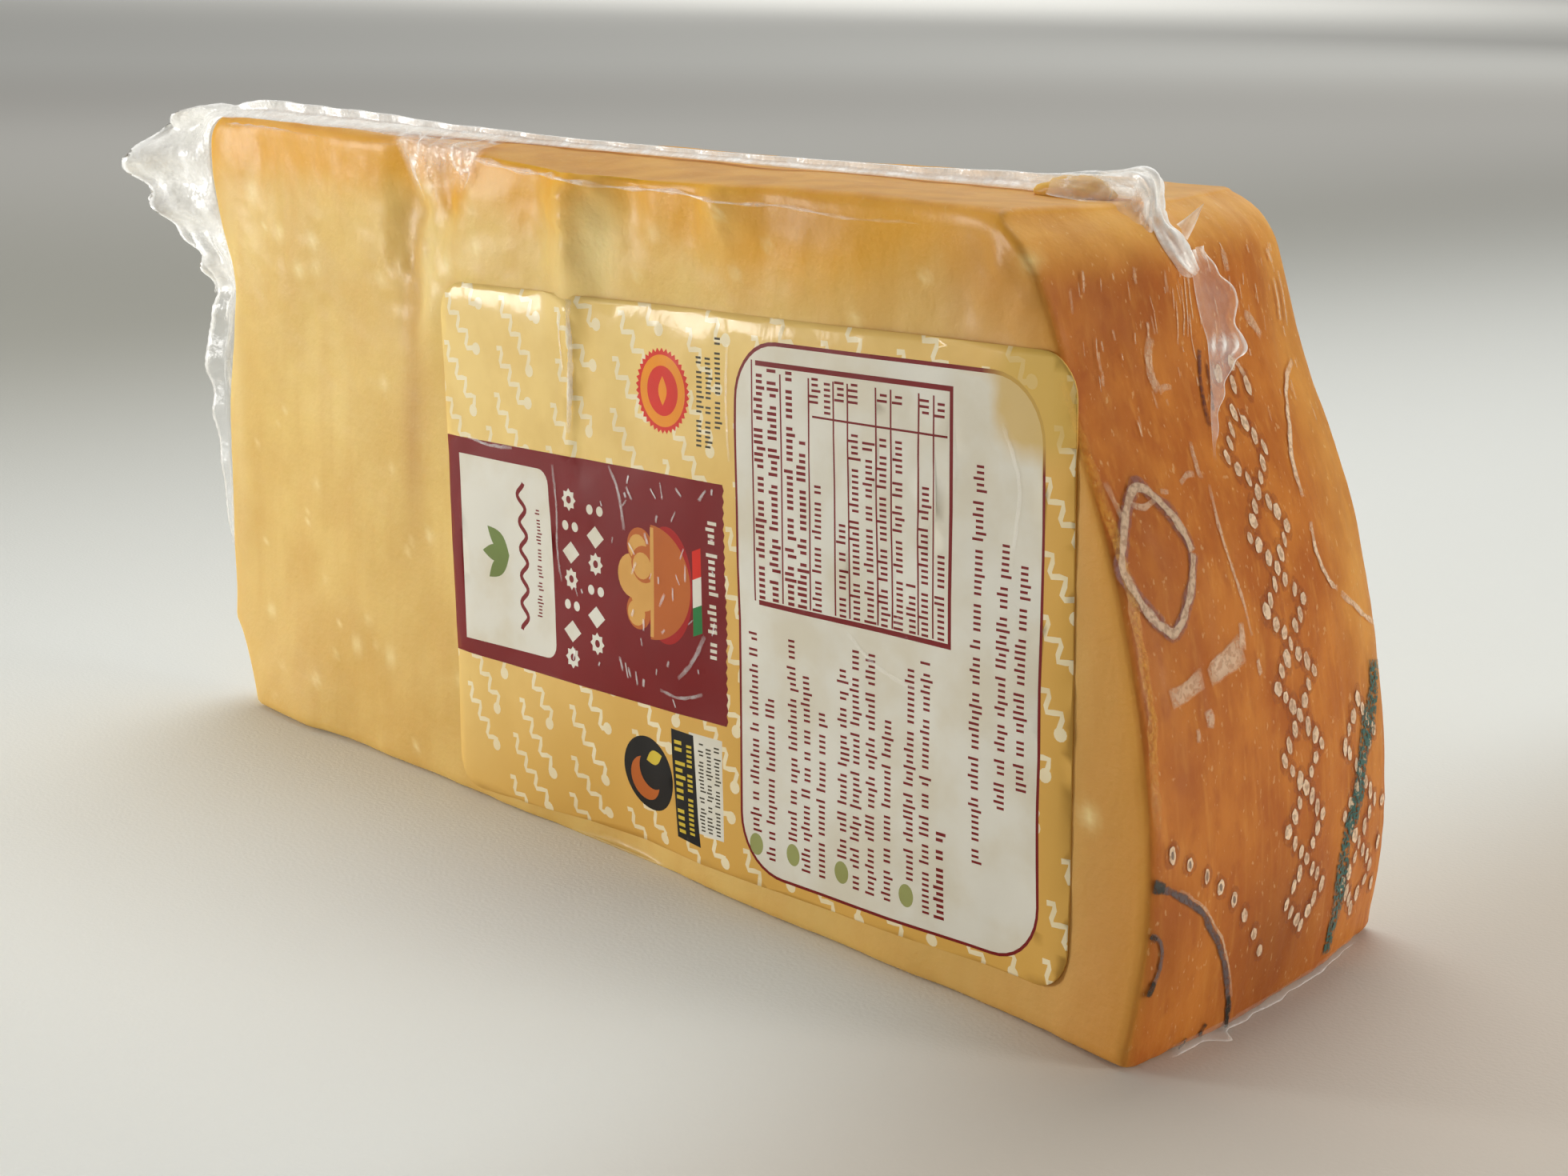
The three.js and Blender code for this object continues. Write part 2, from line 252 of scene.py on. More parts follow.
def wedge_points(along, side, up):
    """Points of the surface, and the normals of the box that they were bent from."""
    half = half_width(along)
    inset = np.full_like(half, EDGE_ROUND)
    point = points_at(along, side * half, up)
    low = points_at(inset, inset - half, inset)
    high = points_at(WHEEL_RADIUS - inset, half - inset, HEIGHT - inset)
    core = np.clip(point, low, high)
    normal = unit(point - core)
    box_x, box_y, z = np.moveaxis(core + EDGE_ROUND * normal, -1, 0)

    share = box_y / half
    rind_x = np.sqrt(rind_radius(z) ** 2 - (share * half_width(WHEEL_RADIUS)) ** 2)
    start = tip_start(z)
    x = start + (box_x / WHEEL_RADIUS) * (rind_x - start)
    across = normal[..., 1]
    near, far = (face_relief(crags, x / COS, z) for crags in (NEAR_CRAGS, FAR_CRAGS))
    relief = np.where(across < 0, near, far)
    y = share * half_width(x) + across * relief * COS
    top = z + np.maximum(0, normal[..., 2]) * top_relief(x, share)
    return points_at(x - np.abs(across) * relief * SIN, y, top), normal


def near_face_points(along, up, outwards):
    """Points over the near face, by their place along it, up it and out from its plane."""
    x = along * COS - outwards * SIN
    return points_at(x, -along * SIN - outwards * COS - TIP_WIDTH / 2, up)


def rind_points(across, up, outwards):
    """Points over the side rind, by their place across it, up it and out from it."""
    radius = rind_radius(up) + outwards
    return points_at(np.sqrt(radius ** 2 - across ** 2), across, up)


def rind_relief(across, up):
    """Fine relief of the side rind: upright wrinkles and soft hollows."""
    return 0.14 * value_noise(across / 1.7, up / 13, 0, 3) + 0.16 * rough(across / 7, up / 8, 0, 4, 3)


# Meshes and pieces

def frame_shift():
    """From the wedge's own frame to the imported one."""
    low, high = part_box("cheese_wedge")
    ups = np.linspace(0, HEIGHT, 400)
    tip, _ = wedge_points(0 * ups, 0 * ups, ups)
    return Vector((low.x / MM - tip[:, 0].min(), (low.y + high.y) / 2 / MM, low.z / MM))


SHIFT = frame_shift()


def place_in_scene(name, data):
    thing = bpy.data.objects.new(name, data)
    bpy.context.scene.collection.objects.link(thing)
    return thing


def make_piece(name, points, faces, materials, inks=None):
    """One piece of the object. Inks gives each face its material's place in the list."""
    mesh = bpy.data.meshes.new(name)
    placed = (np.asarray(points, float) + np.array(SHIFT)) * MM
    mesh.from_pydata(placed.tolist(), [], [tuple(face) for face in faces])
    for material in materials:
        mesh.materials.append(material)
    if inks is not None:
        mesh.polygons.foreach_set("material_index", np.asarray(inks, np.int32))
    mesh.polygons.foreach_set("use_smooth", [True] * len(mesh.polygons))
    mesh.update()
    piece = place_in_scene(name, mesh)
    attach(piece, "root")
    return piece


def set_attribute(piece, name, values):
    """A share from 0 to 1 at each point, for the materials."""
    layer = piece.data.attributes.new(name, "FLOAT", "POINT")
    layer.data.foreach_set("value", np.clip(values, 0, 1).astype(np.float32).ravel())


def grid_faces(rows, columns, offset=0):
    return [
        (corner, corner + 1, corner + columns + 1, corner + columns)
        for row in range(offset, offset + (rows - 1) * columns, columns)
        for corner in range(row, row + columns - 1)
    ]


def patch_piece(name, patches, material):
    """One piece of grids of points, each with its share of white or of cover, called milk."""
    faces, count = [], 0
    for _, milk in patches:
        faces += grid_faces(*milk.shape, count)
        count += milk.size
    points = np.concatenate([points.reshape(-1, 3) for points, _ in patches])
    piece = make_piece(name, points, faces, [material])
    set_attribute(piece, "milk", np.concatenate([milk.ravel() for _, milk in patches]))
    return piece


def film_sheet(name, points, milk):
    return patch_piece(name, [(points, milk)], FILM)


# Materials

def color(red, green, blue):
    """A colour from screen values of 0 to 255."""
    linear = [
        v / 12.92 if v <= 0.04045 else ((v + 0.055) / 1.055) ** 2.4
        for v in (red / 255, green / 255, blue / 255)
    ]
    return (*linear, 1.0)


class Shader:
    """A node material under construction. Its methods add a node and return its output."""

    def __init__(self, name):
        self.material = bpy.data.materials.new(name)
        self.material.use_nodes = True
        self.tree = self.material.node_tree
        self.coords = self.tree.nodes.new("ShaderNodeTexCoord").outputs["Object"]

    def plug(self, source, socket):
        if isinstance(source, (int, float, tuple)):
            socket.default_value = source
        else:
            self.tree.links.new(source, socket)

    def node(self, kind, output, sockets, **settings):
        """A new node with its settings, its sockets plugged, and one output named or numbered."""
        node = self.tree.nodes.new("ShaderNode" + kind)
        for name, value in settings.items():
            setattr(node, name, value)
        for name, source in sockets.items():
            self.plug(source, node.inputs[name])
        return node.outputs[output]

    def finish(self, **values):
        for name, value in values.items():
            self.plug(value, self.tree.nodes["Principled BSDF"].inputs[name.replace("_", " ")])
        return self.material

    def attribute(self, name):
        return self.node("Attribute", "Fac", {}, attribute_name=name)

    def noise(self, size, detail=2.0, stretch=(1.0, 1.0, 1.0), shift=0.0):
        """Noise from 0 to 1 with features about size millimetres long, stretched by the factors given."""
        scale = tuple(1 / (size * MM * factor) for factor in stretch)
        sockets = {"Vector": self.coords, "Scale": scale, "Location": (shift, shift, shift)}
        place = self.node("Mapping", "Vector", sockets)
        return self.node("TexNoise", "Fac", {"Vector": place, "Scale": 1.0, "Detail": detail})

    def rise(self, value, low, high, to_low=0.0, to_high=1.0):
        """Value carried smoothly from low..high to to_low..to_high."""
        sockets = {"Value": value, "From Min": low, "From Max": high, "To Min": to_low, "To Max": to_high}
        return self.node("MapRange", "Result", sockets, interpolation_type="SMOOTHSTEP")

    def math(self, operation, first, second):
        return self.node("Math", "Value", {0: first, 1: second}, operation=operation)

    def wrinkles(self, broad, fine, share):
        """Broad noise with a share of fine noise added."""
        return self.math("ADD", broad, self.math("MULTIPLY", fine, share))

    def layers(self, base, *layers):
        """A screen colour or an output under layers, each with its share and its screen colour."""
        if isinstance(base, tuple):
            base = color(*base)
        for share, tone in layers:
            base = self.mix(share, base, color(*tone))
        return base

    def mix(self, share, first, second):
        return self.node("Mix", 2, {"Factor": share, 6: first, 7: second}, data_type="RGBA")

    def bump(self, height, distance):
        return self.node("Bump", "Normal", {"Distance": distance * MM, "Height": height})


def film_gloss(shader, wrinkle=0.12):
    """The clear film that clings to a surface: a smooth coat with its own fine wrinkles."""
    return shader.bump(shader.wrinkles(shader.noise(7, 3, (1, 1, 1.6)), shader.noise(1.8, 2), 0.22), wrinkle)


def cheese_material():
    shader = Shader("cheese_under_film")
    streaks = shader.noise(4.6, 3, (1, 1, 6), 5.0)
    warm = shader.math("MULTIPLY", shader.attribute("warm"), shader.rise(streaks, 0.15, 0.7, 0.82, 1.1))
    paste = shader.layers(
        (226, 186, 100),
        (shader.rise(shader.noise(16, 4), 0.3, 0.7), (238, 203, 118)),
        (shader.rise(streaks, 0.4, 0.75, 0.0, 0.3), (222, 174, 90)),
        (shader.attribute("toasted"), (208, 146, 72)),
        (shader.rise(warm, 0.0, 1.0), (232, 168, 42)),
        (shader.attribute("shaded"), (182, 124, 58)),
    )
    blotches = shader.noise(9, 4, (1, 1, 1.4), 3.0)
    fine_blotches = shader.noise(2.6, 3, (1, 1, 1.8), 7.0)
    wrinkles = shader.noise(1.5, 3, (1, 1, 8), 11.0)
    specks = shader.noise(0.9, 2, (1, 1, 1.6), 13.0)
    sunlit = shader.math("MULTIPLY", shader.attribute("sunlit"), shader.rise(blotches, 0.3, 0.75, 0.7, 1.0))
    rind = shader.layers(
        (178, 98, 32),
        (shader.rise(blotches, 0.3, 0.72), (204, 126, 48)),
        (shader.rise(fine_blotches, 0.5, 0.8, 0.0, 0.5), (164, 84, 28)),
        (shader.rise(wrinkles, 0.5, 0.78, 0.0, 0.4), (218, 148, 66)),
        (shader.attribute("aged"), (136, 70, 24)),
        (sunlit, (236, 180, 92)),
        (shader.rise(specks, 0.64, 0.74, 0.0, 0.3), (240, 208, 150)),
    )
    body = shader.mix(shader.attribute("rind"), paste, rind)
    return shader.finish(
        # The pale layer holds the white crystals and painted light on the near face's lumps and tip edge
        Base_Color=shader.layers(body, (shader.attribute("pale"), (251, 226, 158))),
        Roughness=0.6,
        Specular_IOR_Level=0.18,
        Normal=shader.bump(shader.noise(1.1, 3, (1, 1, 1), 9.0), 0.10),
        Coat_Weight=0.13,
        Coat_Roughness=0.27,
        Coat_Normal=film_gloss(shader),
        Subsurface_Weight=0.18,
        Subsurface_Radius=(1.0, 0.55, 0.22),
        Subsurface_Scale=0.004,
    )


def film_material():
    """Clear film off the cheese: its share of white is the milk attribute, made uneven. A weak emission gives
    it a painted glow that stands in for light scattered through the film.
    """
    shader = Shader("clear_film")
    uneven = shader.rise(shader.noise(1.5, 3, (1, 1, 1), 2.0), 0.3, 0.7, 0.82, 1.18)
    return shader.finish(
        Base_Color=color(254, 253, 249),
        Roughness=0.24,
        # Painted glow: a weak emission in place of light scattered through the film
        Emission_Color=color(254, 252, 244),
        Emission_Strength=0.1,
        Alpha=shader.math("MULTIPLY", shader.attribute("milk"), uneven),
        Normal=shader.bump(shader.wrinkles(shader.noise(2.4, 3), shader.noise(0.8, 2), 0.3), 0.3),
    )


def mark_material(name, screen_color, patchy=0.5, size=0.8):
    """A mark on the cheese. Its cover is the milk attribute, patchy by the share given."""
    shader = Shader("mark_" + name)
    uneven = shader.rise(shader.noise(size, 3), 0.38, 0.58, 1 - patchy, 1.1)
    return shader.finish(
        Base_Color=color(*screen_color),
        Roughness=0.4,
        Alpha=shader.math("MULTIPLY", shader.attribute("milk"), uneven),
    )


CHEESE = cheese_material()
FILM = film_material()
SCAR = mark_material("scar", (240, 212, 178), 0.35)
BRUISE = mark_material("bruise", (160, 76, 38))
PURPLE = mark_material("purple", (142, 96, 92))
BLACKENED = mark_material("blackened", (30, 34, 26))
GREYED = mark_material("greyed", (92, 80, 80), 0.3)
DARKENED = mark_material("darkened", (96, 40, 22))
# A painted highlight along the rind's edge with the near face, where the film catches the light
EDGE_HIGHLIGHT = mark_material("edge_highlight", (232, 170, 54))
INK = mark_material("ink", (20, 88, 80), 1.0, 0.6)


# The cheese

CELLS_ALONG = 178
CELLS_ACROSS = 62
CELLS_UP = 118
EDGE_STEPS = (0, 0.35, 1)


def stations(size, cells, rounding):
    """Grid places from 0 to size: close together over the rounded ends, even between them."""
    ends = [step * rounding for step in EDGE_STEPS]
    inner = cells - 2 * (len(ends) - 1)
    middle = [rounding + (size - 2 * rounding) * i / inner for i in range(1, inner)]
    return np.array(ends + middle + [size - end for end in reversed(ends)])


def box_lattice(counts):
    """The surface cells of a box of unit cells: whole-number points and outward faces."""
    shape = tuple(count + 1 for count in counts)
    index = -np.ones(shape, np.int64)
    place = np.indices(shape)
    on_surface = np.zeros(shape, bool)
    for axis, count in enumerate(counts):
        on_surface |= (place[axis] == 0) | (place[axis] == count)
    index[on_surface] = np.arange(on_surface.sum())
    points = place[:, on_surface].T
    faces = []
    for axis in range(3):
        first, second = (axis + 1) % 3, (axis + 2) % 3
        for end in (0, counts[axis]):
            sheet = np.take(index, end, axis=axis)
            if first > second:
                sheet = sheet.T
            corners = [sheet[:-1, :-1], sheet[1:, :-1], sheet[1:, 1:], sheet[:-1, 1:]]
            if end == 0:
                corners.reverse()
            faces.append(np.stack([corner.ravel() for corner in corners], -1))
    return points, np.concatenate(faces)


def vertex_normals(points, faces):
    first, second, third, fourth = (points[faces[:, k]] for k in range(4))
    across = np.cross(third - first, fourth - second)
    normals = np.zeros_like(points)
    for k in range(4):
        np.add.at(normals, faces[:, k], across)
    return unit(normals)


def label_cover(along, up):
    """1 under the label, 0 off it."""
    p, q = label_place(along, up)
    inside = [smoothstep(-1, 2, room) for room in (p, LABEL_LENGTH - p, q, LABEL_HEIGHT - q)]
    return math.prod(inside)


def label_place(along, up):
    cos, sin = math.cos(LABEL_TILT), math.sin(LABEL_TILT)
    a, b = along - LABEL_ALONG, up - LABEL_UP
    return a * cos + b * sin, b * cos - a * sin


def cut_face_detail(along, up, seed):
    """Fine relief of a cut face: soft hollows, saw streaks and grain."""
    hollows = 0.20 * rough(along / 13, up / 15, 0, seed, 2)
    streaks = 0.04 * value_noise(along / 3.1, up / 21, 0, seed + 10)
    grain = 0.06 * rough(along / 2.6, up / 2.6, 0, seed + 20, 2)
    return hollows + streaks + grain


CRUMBLY_SPOTS = [(61, 97, 8, 15), (72, 105, 6, 7), (107, 105, 9, 9), (141, 107, 7, 6), (201, 105, 8, 9)]
SHADED_SPOTS = [
    (61, 84, 3.2, 20, 0.4), (60, 57, 3.4, 14, 0.4), (157, 108, 12, 4.5, 0.45), (196, 105, 11, 9, 0.6),
    (101, 87, 4, 5, 0.25), (57, 98, 5, 5, 0.2),
]
WARM_SPOTS = [(72, 105, 4.5, 4, 0.75), (150, 108, 26, 8, 0.7), (30, 110, 40, 6, 0.5), (93, 104, 6, 5, 0.4)]
# Painted light: paler spots where light falls on the near face's lumps and along its edge at the tip, with
# place, height, half sizes and strength
PAINTED_LIGHT_SPOTS = [
    (112, 100, 5, 8, 0.85), (104, 93, 5, 7, 0.35), (2, 62, 2.6, 40, 0.35), (65.5, 92, 2.4, 12, 0.5),
    (141, 106, 4, 5, 0.3),
]
AGED_SPOTS = [(-3, 9, 13, 13, 0.75), (-32, 16, 6, 10, 0.4), (-19, 101, 11, 9, 0.35), (-26, 62, 7, 20, 0.25)]
CRYSTALS = [
    (10.1, 99.3), (25.5, 86.5), (30.9, 87.5), (50.5, 87.8), (42.0, 19.6), (12.1, 19.9), (52.5, 19.6),
    (64.8, 104.6), (124.6, 102.9), (71.4, 92.4), (216.0, 33.4), (19.2, 92.8),
]
CRYSTAL_SIZE = 1.3
SMALL_CRYSTALS = 70


def build_cheese():
    lattice, faces = box_lattice((CELLS_ALONG, CELLS_ACROSS, CELLS_UP))
    along = stations(WHEEL_RADIUS, CELLS_ALONG, EDGE_ROUND)[lattice[:, 0]]
    edge_share = 2 * EDGE_ROUND / half_width(WHEEL_RADIUS)
    side = stations(2, CELLS_ACROSS, edge_share)[lattice[:, 1]] - 1
    up = stations(HEIGHT, CELLS_UP, EDGE_ROUND)[lattice[:, 2]]
    base, box_normal = wedge_points(along, side, up)
    x, y, z = base.T
    face_along = x / COS
    on_rind, on_far, on_top = np.maximum(box_normal, 0).T
    _, on_near, on_bottom = np.maximum(-box_normal, 0).T

    crumbly = sum(spot(face_along, z, *feature) for feature in CRUMBLY_SPOTS)
    crumbs = crumbly * 0.55 * rough(face_along / 4.2, z / 4.2, 0, 41, 3)
    detail = on_near * (cut_face_detail(face_along, z, 1) + crumbs) * (1 - 0.8 * label_cover(face_along, z))
    detail += on_far * 1.3 * cut_face_detail(face_along, z, 2)
    detail += on_rind * rind_relief(y, z)
    detail += on_top * 0.22 * rough(x / 16, y / 11, 0, 5, 3)
    detail -= on_bottom * np.abs(0.10 * rough(x / 9, y / 7, 0, 6, 2))
    points = pushed(base, vertex_normals(base, faces), detail)
    points[:, 2] = np.maximum(points[:, 2], 0)

    depth_rind = np.maximum(rind_radius(z) - np.hypot(x, y), 0)
    wobble = 1 + 0.35 * rough(face_along / 15, z / 30, y / 20, 51, 3)
    top_band = np.exp(-(np.maximum(HEIGHT - z, 0) / (10 * wobble)) ** 1.25)
    side_band = np.exp(-(depth_rind / (8.5 * wobble)) ** 1.3)
    far_edge = 0.55 * smoothstep(13, 31, y) * smoothstep(15, 60, z)
    shares = {
        "warm": np.maximum(top_band, 0.4 * side_band) + spots_at(WARM_SPOTS, face_along, z) * on_near,
        "rind": smoothstep(0.35, 0.85, np.maximum(on_rind, on_top)),
        "toasted": 0.95 * np.exp(-depth_rind / 24) + 0.2 * smoothstep(70, 10, z),
        "shaded": spots_at(SHADED_SPOTS, face_along, z) * on_near,
        # pale holds the crystals and the painted light on the near face
        "pale": crystals_and_painted_light(face_along, z, on_near, on_far),
        "aged": spots_at(AGED_SPOTS, y, z),
        "sunlit": np.maximum(far_edge, 0.9 * smoothstep(102, 111, z)),
    }
    piece = make_piece("cheese", points, faces, [CHEESE])
    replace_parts(piece, "cheese_wedge")
    for name, share in shares.items():
        set_attribute(piece, name, share)


def crystals_and_painted_light(face_along, z, on_near, on_far):
    """The white crystals of the cut faces, and painted light: paler spots where light falls on the near
    face's lumps and along its edge at the tip.
    """
    generator = random.Random(7)
    # Painted light on the near face's lumps and tip edge
    pale = spots_at(PAINTED_LIGHT_SPOTS, face_along, z) * on_near
    spots = [(place, height, CRYSTAL_SIZE) for place, height in CRYSTALS]
    spots += [
        (generator.uniform(4, 216), generator.uniform(4, 108), generator.uniform(0.4, 1.2))
        for _ in range(SMALL_CRYSTALS)
    ]
    for place, height, size in spots:
        nearby = spot(face_along, z, place, height, size, size * generator.uniform(0.9, 1.4))
        pale = np.maximum(pale, generator.uniform(0.45, 0.9) * nearby * (on_near + on_far))
    return pale


# Marks on the rind, each a patch that follows its fine relief: places are across the rind (y) and up it

LOWEST_MARK = 0.2
DOT_CHAINS = [
    {"middle": [(3.6, 10), (3.2, 25), (3.4, 42), (3.1, 52), (2.5, 62), (2.3, 73), (2.6, 83)], "half": 5.4,
     "low": 10.5, "high": 83.5, "links": 7},
    {"middle": [(22.6, 8), (22.0, 20), (22.6, 40)], "half": 5.6, "low": 7.5, "high": 39.5, "links": 3},
]
DOT_STEPS = 6
LOOSE_DOTS = [
    (4.6, 87.2), (5.6, 90.0), (1.4, 89.0), (8.6, 86.6), (-29.9, 30.0), (-26.4, 27.9), (-22.8, 25.4),
    (-19.3, 22.9), (-16.1, 20.3), (-13.3, 17.2), (-10.4, 13.6), (-7.9, 10.3), (31.6, 22.0), (31.0, 15.5),
    (30.2, 9.0),
]
BRUISED_DOTS = LOOSE_DOTS[4:9]
FLECKS = 75
STROKE_STEP = 0.45
STROKE_ROWS = np.array([-1.0, -0.8, -0.4, 0.0, 0.4, 0.8, 1.0])[None, :]
OVAL_RINGS = np.array([0.0, 0.5, 0.8, 0.92, 1.0])[:, None]
OVAL_COVERS = np.array([0.88, 0.86, 1.0, 0.9, 0.0])[:, None]
# Each stroke has the places along its line, its half width and its cover
PALE_STROKES = [
    ([(24.9, 88.1), (20.7, 85.4), (18.1, 81.9), (14.6, 75.1), (14.6, 70.4)], 0.55, 0.95),
    ([(15.0, 67.1), (14.9, 62.6), (17.3, 58.2), (20.1, 56.5)], 0.5, 0.9),
    ([(20.8, 55.8), (27.2, 51.6), (31.8, 49.1)], 0.5, 0.75),
    ([(-27.6, 50.3), (-24.0, 50.9), (-19.6, 51.3)], 1.5, 0.55),
    ([(-18.6, 51.9), (-14.5, 52.9), (-9.6, 53.8)], 1.7, 0.62),
    ([(-9.8, 53.6), (-9.4, 55.6), (-9.2, 57.4)], 0.7, 0.6),
    ([(-19.4, 47.6), (-19.2, 46.2), (-19.5, 44.9)], 0.9, 0.5),
    ([(-22.6, 45.6), (-22.4, 44.6), (-22.6, 43.6)], 0.45, 0.4),
    ([(-6.4, 51.9), (-6.2, 50.6), (-6.0, 49.4)], 0.7, 0.55),
    ([(-10.4, 81.6), (-10.9, 79.0), (-10.7, 76.6)], 0.5, 0.45),
    ([(-9.3, 75.8), (-9.9, 71.2), (-9.4, 66.0), (-8.2, 61.0), (-7.2, 55.0)], 0.4, 0.5),
    ([(-13.4, 95.6), (-14.6, 93.2), (-15.0, 90.6), (-14.2, 88.4)], 0.9, 0.45),
    ([(-14.2, 88.6), (-12.6, 88.9), (-10.8, 88.6)], 0.6, 0.35),
    ([(-27.0, 75.6), (-24.5, 75.0), (-21.5, 75.8)], 0.5, 0.45),
    ([(-20.5, 76.4), (-18.8, 76.0)], 0.35, 0.35),
    ([(-15.8, 76.6), (-13.8, 77.6), (-11.8, 77.2)], 0.5, 0.4),
    ([(-30.8, 79.0), (-30.0, 76.0), (-29.4, 73.6)], 0.6, 0.25),
    ([(23.8, 104.2), (25.2, 101.8)], 0.5, 0.5),
    ([(24.4, 100.1), (24.2, 96.0), (23.9, 93.7)], 0.35, 0.6),
    ([(26.6, 99.4), (26.6, 96.0), (26.0, 92.7)], 0.3, 0.5),
    ([(9.8, 105.4), (10.0, 102.1)], 0.6, 0.4),
    ([(12.0, 96.2), (14.4, 94.6), (16.0, 92.4)], 0.75, 0.5),
    ([(5.4, 90.8), (7.4, 89.6), (8.6, 87.6)], 0.5, 0.5),
]
PLEAT_LINES = [
    [(-2.4, 103.4), (-3.2, 99.2), (-4.8, 94.6)], [(-3.6, 101.6), (-4.6, 97.8), (-5.8, 94.8)],
    [(-0.8, 104.6), (-1.8, 101.0), (-2.6, 96.6)], [(-6.0, 99.8), (-6.6, 97.0), (-7.6, 93.8)],
    [(-3.0, 97.8), (-3.8, 94.6), (-3.4, 91.2)],
]
# Dark strokes have a kind too: 0 for black ends, 1 for grey cuts and 2 for slits
DARK_STROKES = [
    ([(-34.0, 26.7), (-31.8, 25.8)], 0.8, 0.95, 0),
    ([(-32.6, 26.2), (-29.3, 24.4), (-24.0, 20.6), (-19.8, 15.4), (-16.9, 10.3), (-14.9, 4.8), (-14.1, 0.4)],
     0.58, 0.85, 1),
    ([(-14.9, 5.6), (-14.4, 2.6), (-14.0, 0.2)], 0.5, 0.8, 0),
    ([(-34.3, 19.9), (-32.3, 18.4), (-32.0, 15.6), (-33.0, 13.0), (-33.9, 11.4)], 0.42, 0.8, 1),
    ([(-19.2, 2.6), (-19.8, 1.8), (-20.2, 0.7)], 0.4, 0.8, 0),
    ([(-23.4, 1.7), (-23.8, 1.1), (-24.9, 0.4)], 0.35, 0.75, 0),
    ([(-34.4, 20.0), (-33.2, 19.0)], 0.6, 0.85, 0),
    ([(-33.2, 13.2), (-34.1, 11.0)], 0.55, 0.85, 0),
    ([(-2.3, 92.8), (-3.2, 90.0), (-4.2, 86.0), (-4.6, 82.6)], 0.45, 0.8, 2),
    ([(-1.2, 90.8), (-1.6, 87.6), (-2.6, 84.4)], 0.3, 0.6, 2),
]
RIM_LINE = [(-28.6, 24.9), (-23.2, 20.9), (-19.0, 15.7), (-16.0, 10.4), (-14.0, 5.0)]
# Painted highlight: the line along the rind's edge with the near face
CORNER_HIGHLIGHT_LINE = [(-32.6, 92.0), (-32.4, 78.0), (-31.8, 66.0), (-31.6, 54.0), (-32.0, 42.0), (-32.6, 34.0)]
INK_STRIPE = [
    (30.6, 44.0), (29.3, 39.0), (26.0, 35.0), (23.4, 30.2), (20.8, 24.9), (17.2, 20.5), (16.2, 13.8),
    (15.4, 7.7), (14.6, 2.4),
]
RING = {"across": -24.6, "up": 68.0, "half_wide": 7.6, "half_high": 9.6, "squareness": 1.35}


def oval_mark(across, up, half_wide, half_high, cover, generator):
    """A ragged oval with a rim paler than its middle."""
    angle = np.linspace(0, 2 * math.pi, 15)[None, :]
    start = generator.uniform(0, 6)
    ragged = OVAL_RINGS * (1 + 0.13 * np.sin(2 * angle + start) + 0.07 * np.sin(5 * angle + 2 * start))
    place = across + half_wide * ragged * np.cos(angle)
    return place, up + half_high * ragged * np.sin(angle), cover * OVAL_COVERS + 0 * angle


def stroke_mark(line, half_wide, cover, seed, soft=0.35):
    """A stroke along a line of places, ragged at its sides and soft at its ends."""
    length = sum(math.dist(a, b) for a, b in zip(line, line[1:]))
    share = np.linspace(0, 1, max(8, int(length / STROKE_STEP)))[:, None]
    middle = smooth_line(line, share[:, 0])
    forward = unit(np.gradient(middle, axis=0))
    ragged = 1 + 0.35 * rough(share * length / (2.5 * half_wide), STROKE_ROWS, 0, seed, 2)
    off = STROKE_ROWS * half_wide * ragged
    ends = fade(share, soft, soft)
    milk = cover * smoothstep(1.0, 0.7, np.abs(STROKE_ROWS)) * (0.25 + 0.75 * ends ** 0.5) * (ends > 0)
    return middle[:, 0:1] - forward[:, 1:2] * off, middle[:, 1:2] + forward[:, 0:1] * off, milk


def mark_piece(name, marks, material, lift):
    """One piece of many marks, each a grid of places across and up, and its cover."""
    patches = []
    for across, up, cover in marks:
        up = np.maximum(up, LOWEST_MARK)
        patches.append((rind_points(across, up, rind_relief(across, up) + lift), cover))
    patch_piece(name, patches, material)


def chain_dots(chain, generator):
    """Places of dots along two zigzags that cross, like a chain of lozenges."""
    middle = np.array(chain["middle"], float)
    steps = chain["links"] * DOT_STEPS
    places = []
    for i in range(steps + 1):
        up = chain["low"] + (chain["high"] - chain["low"]) * i / steps
        swing = 1 - abs(2 * (i % DOT_STEPS) / DOT_STEPS - 1)
        centre = np.interp(up, middle[:, 1], middle[:, 0])
        for side in (-1, 1) if swing else (0,):
            places.append((
                centre + side * swing * chain["half"] + generator.uniform(-0.25, 0.25),
                up + generator.uniform(-0.3, 0.3),
            ))
    return places


